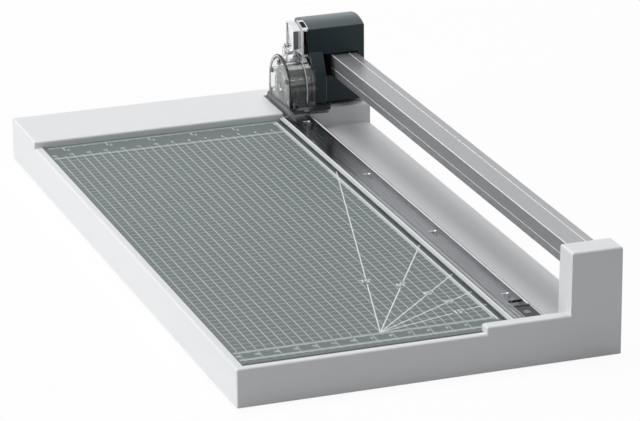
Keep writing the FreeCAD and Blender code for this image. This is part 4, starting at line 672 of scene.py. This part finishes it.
class TRIMMER_OT_strip_details(bpy.types.Operator):
    """Lay the film under the clear strip, paint shade beside the strip and in the plate's front gap, and
    paint the bevel's highlight and the glints beside the pins
    """

    bl_idname = "trimmer.strip_details"
    bl_label = "Strip Details"

    FRONT, BACK = 8.0, 357.5
    FROST_MIDDLE, FROST_LENGTH = 183.75, 349.2
    # The bevel's lower and upper edge, as places to the right and up
    BEVEL = ((-21.2, 21.3), (-17.6, 22.3))
    # Each band's name, where it starts and ends up the bevel, its thickness and its finish; the bands paint
    # the bevel's highlight
    BANDS = (("strip_frost", 0.1, 0.62, 0.04, "Frosted Edge"),
             ("strip_edge_line", 0.6, 0.78, 0.06, "Plate Ink"))
    PIN_PLACES = (45.0, 145.0, 245.0, 345.0)
    # The painted glints beside the pins: their left and right ends, width, base and top
    MARK_LEFT, MARK_RIGHT, MARK_WIDTH = -11.1, -8.9, 0.8
    MARK_BASE, MARK_TOP = 22.35, 22.42

    def execute(self, context):
        bar_piece("strip_film", spot(-18.0, self.FRONT, PLATE_TOP - SUNK),
                  spot(-12.15, self.BACK, PLATE_TOP + 0.03), "Burnished Backing")
        bar_piece("strip_film_seam", spot(-14.4, self.FRONT, PLATE_TOP + 0.02),
                  spot(-13.7, self.BACK, PLATE_TOP + 0.045), "Slot Plastic")
        # A darker band of the plate beside the strip: the strip's painted shadow.
        bar_piece("plate_border", spot(-22.7, self.FRONT, PLATE_TOP - SUNK),
                  spot(-18.05, self.BACK, PLATE_TOP + 0.015), "Plate Border")
        # A black bar in the gap at the plate's front: painted shade in the gap.
        bar_piece("plate_front_seal", spot(PLATE_LEFT, 4.05, PLATE_TOP - 0.4),
                  spot(-37.2, 6.1, PLATE_TOP + 0.07), "Foot Rubber")
        self.frost_bevel()
        self.paint_marks()
        return {"FINISHED"}

    # The bevel's highlight is painted as pale bands on the clear strip.
    def frost_bevel(self):
        low, high = (Vector(edge) for edge in self.BEVEL)
        slope = math.atan2(high.y - low.y, high.x - low.x)
        for name, start, end, thick, finish in self.BANDS:
            mesh = bmesh.new()
            middle = low.lerp(high, (start + end) / 2)
            size = Matrix.Diagonal(((high - low).length * (end - start) * MM, self.FROST_LENGTH * MM,
                                    thick * MM, 1))
            place = Matrix.Translation(spot(middle.x, self.FROST_MIDDLE, middle.y))
            bmesh.ops.create_cube(mesh, size=1.0, matrix=place @ Matrix.Rotation(-slope, 4, "Y") @ size)
            finish_piece(mesh, name, "clamp", bpy.data.materials[finish])

    # The glints of slots beside the pins are painted as white dashes.
    def paint_marks(self):
        mesh = bmesh.new()
        for y in self.PIN_PLACES:
            add_line(mesh, (self.MARK_LEFT, y), (self.MARK_RIGHT, y), self.MARK_WIDTH * MM,
                     self.MARK_BASE, self.MARK_TOP)
        finish_piece(mesh, "strip_marks", "clamp", bpy.data.materials["Mark Paint"])


class TRIMMER_OT_rail_beads(bpy.types.Operator):
    """Lay the beads along the rail's polished corner and in its grooves, painted near-white as their
    highlights
    """

    bl_idname = "trimmer.rail_beads"
    bl_label = "Rail Beads"

    MIDDLE, LENGTH = 204.0, 401.6
    # Where each bead lies, to the right and up, and its radius
    BEADS = ((14.72, 53.78, 0.31), (25.12, 53.72, 0.46), (14.8, 46.45, 0.46))

    def execute(self, context):
        mesh = bmesh.new()
        for x, z, radius in self.BEADS:
            place = Matrix.Translation(spot(x, self.MIDDLE, z)) @ Matrix.Rotation(math.pi / 2, 4, "X")
            bmesh.ops.create_cone(mesh, cap_ends=True, segments=12, radius1=radius * MM,
                                  radius2=radius * MM, depth=self.LENGTH * MM, matrix=place)
        finish_piece(mesh, "rail_beads", "base", bpy.data.materials["Polished Aluminium"], 40)
        return {"FINISHED"}


# ---------------------------------------------------------------- cartridge

AXLE_Y = 373.0
AXLE_HEIGHT = 36.5


class TRIMMER_OT_press_arm(bpy.types.Operator):
    """Give the clear press arm its hollow, with the wall that shows through it, a pale rib that paints the
    light seen through the arm, and a pale sheet under its arched top that paints the top's highlight
    """

    bl_idname = "trimmer.press_arm"
    bl_label = "Hollow Press Arm"

    WALL = 0.7
    HOLLOW_FROM = 59.6
    # Each bar's name, left and right, front and back, top, slot and finish
    # The pale rib paints the light of the backdrop seen through the arm.
    BARS = (("press_arm_web", -9.1, -6.1, 366.0, 366.5, 71.0, "smoked_plastic", "Arm Web Plastic"),
            ("press_arm_rib", -6.05, -4.6, 366.0, 366.5, 71.0, "clear_plastic", "Matt Clear Plastic"),
            ("press_arm_outline", -9.85, -9.4, 374.1, 376.4, 73.6, "clear_plastic", "Arm Web Plastic"))

    def execute(self, context):
        low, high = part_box("press_arm")
        outside = bmesh.new()
        outside.from_mesh(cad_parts["press_arm"].data)
        bmesh.ops.remove_doubles(outside, verts=outside.verts, dist=0.002 * MM)
        hollow = outside.copy()
        floor = spot(0, 0, self.HOLLOW_FROM)
        bmesh.ops.bisect_plane(hollow, geom=hollow.verts[:] + hollow.edges[:] + hollow.faces[:],
                               plane_co=floor, plane_no=(0, 0, 1), clear_inner=True)
        bmesh.ops.holes_fill(hollow, edges=[e for e in hollow.edges if e.is_boundary], sides=0)
        wall = self.WALL * MM
        size = Vector((high.x - low.x, high.y - low.y, high.z - floor.z))
        middle = Vector(((high.x + low.x) / 2, (high.y + low.y) / 2, floor.z))
        shrink = Matrix.Diagonal((1 - 2 * wall / size.x, 1 - 2 * wall / size.y, 1 - wall / size.z, 1))
        about_middle = Matrix.Translation(middle) @ shrink @ Matrix.Translation(-middle)
        bmesh.ops.transform(hollow, matrix=about_middle, verts=hollow.verts)
        bmesh.ops.recalc_face_normals(hollow, faces=hollow.faces)
        self.frost_top(hollow.copy())
        bmesh.ops.reverse_faces(hollow, faces=hollow.faces)
        data = bpy.data.meshes.new("hollow")
        hollow.to_mesh(data)
        hollow.free()
        outside.from_mesh(data)
        bpy.data.meshes.remove(data)
        piece = finish_piece(outside, "press_arm_moulding", "cartridge",
                             bpy.data.materials["Arm Clear Plastic"], 30)
        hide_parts("press_arm")
        for name, left, right, front, back, top, slot, finish in self.BARS:
            bar = bmesh.new()
            add_bar(bar, spot(left, front, self.HOLLOW_FROM + 0.1), spot(right, back, top))
            bmesh.ops.bevel(bar, geom=bar.edges[:], offset=0.12 * MM, segments=2, affect="EDGES",
                            profile=0.5, material=-1)
            finish_piece(bar, name, "cartridge", bpy.data.materials[finish], 40)
        return {"FINISHED"}

    def frost_top(self, lid):
        """A pale sheet under the arched top, painting the top's highlight."""
        bmesh.ops.delete(lid, geom=[f for f in lid.faces if f.normal.z < 0.35], context="FACES")
        bmesh.ops.translate(lid, vec=(0, 0, -0.15 * MM), verts=lid.verts)
        bmesh.ops.solidify(lid, geom=lid.faces[:], thickness=0.1 * MM)
        bmesh.ops.recalc_face_normals(lid, faces=lid.faces)
        put_in_order(lid)
        finish_piece(lid, "press_arm_frost", "cartridge",
                     bpy.data.materials["Matt Clear Plastic"], 30)


class TRIMMER_OT_wheel_guard(bpy.types.Operator):
    """Turn the ribbed dark guard that stands round the wheel inside the clear cartridge"""

    bl_idname = "trimmer.wheel_guard"
    bl_label = "Wheel Guard"

    # The guard's section, to the right of the cutting edge and out from the axle
    SECTION = ((-13.2, 8.7), (-13.2, 11.4), (-12.8, 12.0), (-11.0, 12.0), (-10.7, 11.5), (-10.2, 11.5),
               (-9.9, 12.1), (-7.8, 12.1), (-7.5, 11.6), (-7.0, 11.6), (-6.7, 12.2), (-1.4, 12.2),
               (-1.0, 11.8), (-1.0, 8.7))
    OVER_FOOT = 0.05
    # Each rim's name, place to the right, radius, thickness, start and end in degrees, and finish; the
    # drum's bead is pale as a painted highlight
    RIMS = (("flange_rim", -15.1, 18.3, 0.38, -28, 208, "Smoked Wheel Guard"),
            ("drum_bead", -4.5, 17.8, 0.3, 80, 205, "Frosted Edge"))

    def execute(self, context):
        mesh = bmesh.new()
        points = [mesh.verts.new(spot(x, AXLE_Y, AXLE_HEIGHT + radius)) for x, radius in self.SECTION]
        edges = [mesh.edges.new(pair) for pair in zip(points, points[1:] + points[:1])]
        bmesh.ops.spin(mesh, geom=points + edges, cent=spot(0, AXLE_Y, AXLE_HEIGHT), axis=(1, 0, 0),
                       angle=2 * math.pi, steps=64, use_merge=True)
        bmesh.ops.remove_doubles(mesh, verts=mesh.verts, dist=0.001 * MM)
        foot = Vector((0, 0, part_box("cartridge_foot")[1].z + self.OVER_FOOT * MM))
        bmesh.ops.bisect_plane(mesh, geom=mesh.verts[:] + mesh.edges[:] + mesh.faces[:],
                               plane_co=foot, plane_no=(0, 0, 1), clear_inner=True)
        put_in_order(mesh)
        bmesh.ops.holes_fill(mesh, edges=[e for e in mesh.edges if e.is_boundary], sides=0)
        bmesh.ops.recalc_face_normals(mesh, faces=mesh.faces)
        put_in_order(mesh)
        finish_piece(mesh, "wheel_guard", "cartridge",
                     bpy.data.materials["Smoked Wheel Guard"], 30)
        for rim in self.RIMS:
            self.turn_rim(*rim)
        return {"FINISHED"}

    def turn_rim(self, name, x, radius, thick, start, end, finish):
        """A round bead on the drum, between two angles counted from the rear over the top."""
        mesh = bmesh.new()
        centre = spot(x, AXLE_Y, AXLE_HEIGHT)
        section = Matrix.Translation(spot(x, AXLE_Y + radius, AXLE_HEIGHT))
        bmesh.ops.create_circle(mesh, cap_ends=False, segments=10, radius=thick * MM, matrix=section)
        bmesh.ops.rotate(mesh, cent=centre, matrix=Matrix.Rotation(math.radians(start), 3, "X"),
                         verts=mesh.verts)
        bmesh.ops.spin(mesh, geom=mesh.verts[:] + mesh.edges[:], cent=centre, axis=(1, 0, 0),
                       angle=math.radians(end - start), steps=40)
        bmesh.ops.holes_fill(mesh, edges=[e for e in mesh.edges if e.is_boundary], sides=0)
        bmesh.ops.recalc_face_normals(mesh, faces=mesh.faces)
        put_in_order(mesh)
        finish_piece(mesh, name, "cartridge", bpy.data.materials[finish], 50)


class TRIMMER_OT_springs(bpy.types.Operator):
    """Give each spring's wire a mesh of its own, riding on the body that carries it"""

    bl_idname = "trimmer.springs"
    bl_label = "Springs"

    SLACK = 1.05

    def execute(self, context):
        for node, body, joint in (("clamp_springs", "base", "clamp_press"),
                                  ("return_spring", "carriage", "cartridge_press")):
            wire = bmesh.new()
            wire.from_mesh(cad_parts[node].data)
            bmesh.ops.remove_doubles(wire, verts=wire.verts, dist=0.002 * MM)
            piece = finish_piece(wire, node + "_wire", body,
                                 bpy.data.materials["Spring Wire"], 40)
            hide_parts(node)
            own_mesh(piece)
        return {"FINISHED"}


# ---------------------------------------------------------------- stage

# The camera's place in metres, and how far it looks down, turns to the right and tilts, in degrees
CAMERA_PLACE = (-0.62934, -1.80020, 0.69909)
CAMERA_DOWN = 19.54
CAMERA_TURN = 19.68
CAMERA_TILT = 0.43
LENS = 210.39


def seen_plainly(tree):
    """A mask of the rays that the camera sends, and of those mirrored or let through by the trimmer."""
    path = tree.nodes.new("ShaderNodeLightPath").outputs
    return maths(tree, "MAXIMUM", path["Is Camera Ray"],
                 maths(tree, "MAXIMUM", path["Is Glossy Ray"], path["Is Transmission Ray"]))


class TRIMMER_OT_studio(bpy.types.Operator):
    """Set the pale floor, the soft light and the camera"""

    bl_idname = "trimmer.studio"
    bl_label = "Studio"

    def execute(self, context):
        settings = context.scene.trimmer_stage
        self.lay_floor(settings)
        self.light(context, settings)
        self.aim_camera(context)
        context.scene.view_settings.view_transform = "Standard"
        return {"FINISHED"}

    def lay_floor(self, settings):
        mesh = bmesh.new()
        bmesh.ops.create_grid(mesh, x_segments=1, y_segments=1, size=20.0,
                              matrix=Matrix.Translation((0, 0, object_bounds()[0].z - 0.0002)))
        data = bpy.data.meshes.new("studio_floor")
        mesh.to_mesh(data)
        mesh.free()
        floor = bpy.data.objects.new("studio_floor", data)
        bpy.context.scene.collection.objects.link(floor)
        material = bpy.data.materials.new("Studio Floor")
        material.use_nodes = True
        tree = material.node_tree
        tree.nodes.clear()
        seen = seen_plainly(tree)
        tint = make_node(tree, "ShaderNodeMix", {"data_type": "RGBA"}, Factor=seen)
        tint.inputs[6].default_value = (0.74, 0.74, 0.74, 1)
        tint.inputs[7].default_value = (0.95, 0.95, 0.95, 1)
        paint = make_node(tree, "ShaderNodeBsdfDiffuse", Color=tint.outputs[2])
        white = make_node(tree, "ShaderNodeEmission", Color=(1, 1, 1, 1), Strength=1.0)
        share = maths(tree, "MULTIPLY", seen, settings.floor_white)
        mix = make_node(tree, "ShaderNodeMixShader", _0=share, _1=paint.outputs[0], _2=white.outputs[0])
        output = tree.nodes.new("ShaderNodeOutputMaterial")
        tree.links.new(mix.outputs[0], output.inputs["Surface"])
        data.materials.append(material)
        floor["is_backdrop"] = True

    def light(self, context, settings):
        world = bpy.data.worlds.new("Studio World")
        context.scene.world = world
        world.use_nodes = True
        tree = world.node_tree
        tree.nodes.clear()
        strength = ramp(tree, seen_plainly(tree), 0.0, 1.0, settings.ambient, 1.0)
        sky = make_node(tree, "ShaderNodeBackground", Color=(1, 1, 1, 1), Strength=strength)
        output = tree.nodes.new("ShaderNodeOutputWorld")
        tree.links.new(sky.outputs[0], output.inputs["Surface"])
        self.hang_lamp(context, "soft_top", settings.top_power, (1.6, 1.6), (0.0, 0.4, 2.0))
        self.hang_lamp(context, "soft_side", settings.side_power, (1.4, 1.0), (-2.0, 0.0, 0.5))

    def hang_lamp(self, context, name, power, size, place):
        """A soft rectangular lamp that faces the trimmer."""
        lamp = bpy.data.lights.new(name, "AREA")
        lamp.shape = "RECTANGLE"
        lamp.size, lamp.size_y = size
        lamp.energy = power
        holder = bpy.data.objects.new(name, lamp)
        context.scene.collection.objects.link(holder)
        target = Vector((0.0, 0.0, 0.03))
        holder.location = target + Vector(place)
        holder.rotation_euler = (target - holder.location).to_track_quat("-Z", "Y").to_euler()

    def aim_camera(self, context):
        lens = bpy.data.cameras.new("photo_camera")
        lens.lens = LENS
        lens.sensor_width = 36.0
        lens.clip_start, lens.clip_end = 0.05, 60.0
        camera = bpy.data.objects.new("photo_camera", lens)
        context.scene.collection.objects.link(camera)
        aim = Euler((math.radians(90 - CAMERA_DOWN), 0, math.radians(-CAMERA_TURN))).to_matrix().to_4x4()
        camera.matrix_world = (Matrix.Translation(CAMERA_PLACE) @ aim
                               @ Matrix.Rotation(math.radians(-CAMERA_TILT), 4, "Z"))
        context.scene.camera = camera


# ---------------------------------------------------------------- panel

OPERATORS = (TRIMMER_OT_finishes, TRIMMER_OT_measuring_print, TRIMMER_OT_strip_details,
             TRIMMER_OT_rail_beads, TRIMMER_OT_press_arm, TRIMMER_OT_wheel_guard, TRIMMER_OT_springs,
             TRIMMER_OT_studio)
SETTINGS = {"trimmer_colours": TrimmerColours, "trimmer_print": TrimmerPrint, "trimmer_stage": TrimmerStage}


class TRIMMER_PT_panel(bpy.types.Panel):
    """The trimmer's settings and the steps that make it"""

    bl_idname = "TRIMMER_PT_panel"
    bl_label = "Paper Trimmer"
    bl_space_type = "VIEW_3D"
    bl_region_type = "UI"
    bl_category = "Trimmer"

    def draw(self, context):
        for name, group in SETTINGS.items():
            column = self.layout.column(align=True)
            for setting in group.__annotations__:
                column.prop(getattr(context.scene, name), setting)
        for operator in OPERATORS:
            self.layout.operator(operator.bl_idname)


def register():
    for each in (*SETTINGS.values(), *OPERATORS, TRIMMER_PT_panel):
        bpy.utils.register_class(each)
    for name, group in SETTINGS.items():
        setattr(bpy.types.Scene, name, bpy.props.PointerProperty(type=group))


def unregister():
    for name in SETTINGS:
        delattr(bpy.types.Scene, name)
    for each in reversed((*SETTINGS.values(), *OPERATORS, TRIMMER_PT_panel)):
        bpy.utils.unregister_class(each)


def main():
    register()
    for operator in OPERATORS:
        group, name = operator.bl_idname.split(".")
        getattr(getattr(bpy.ops, group), name)()


if __name__ == "__main__":
    main()
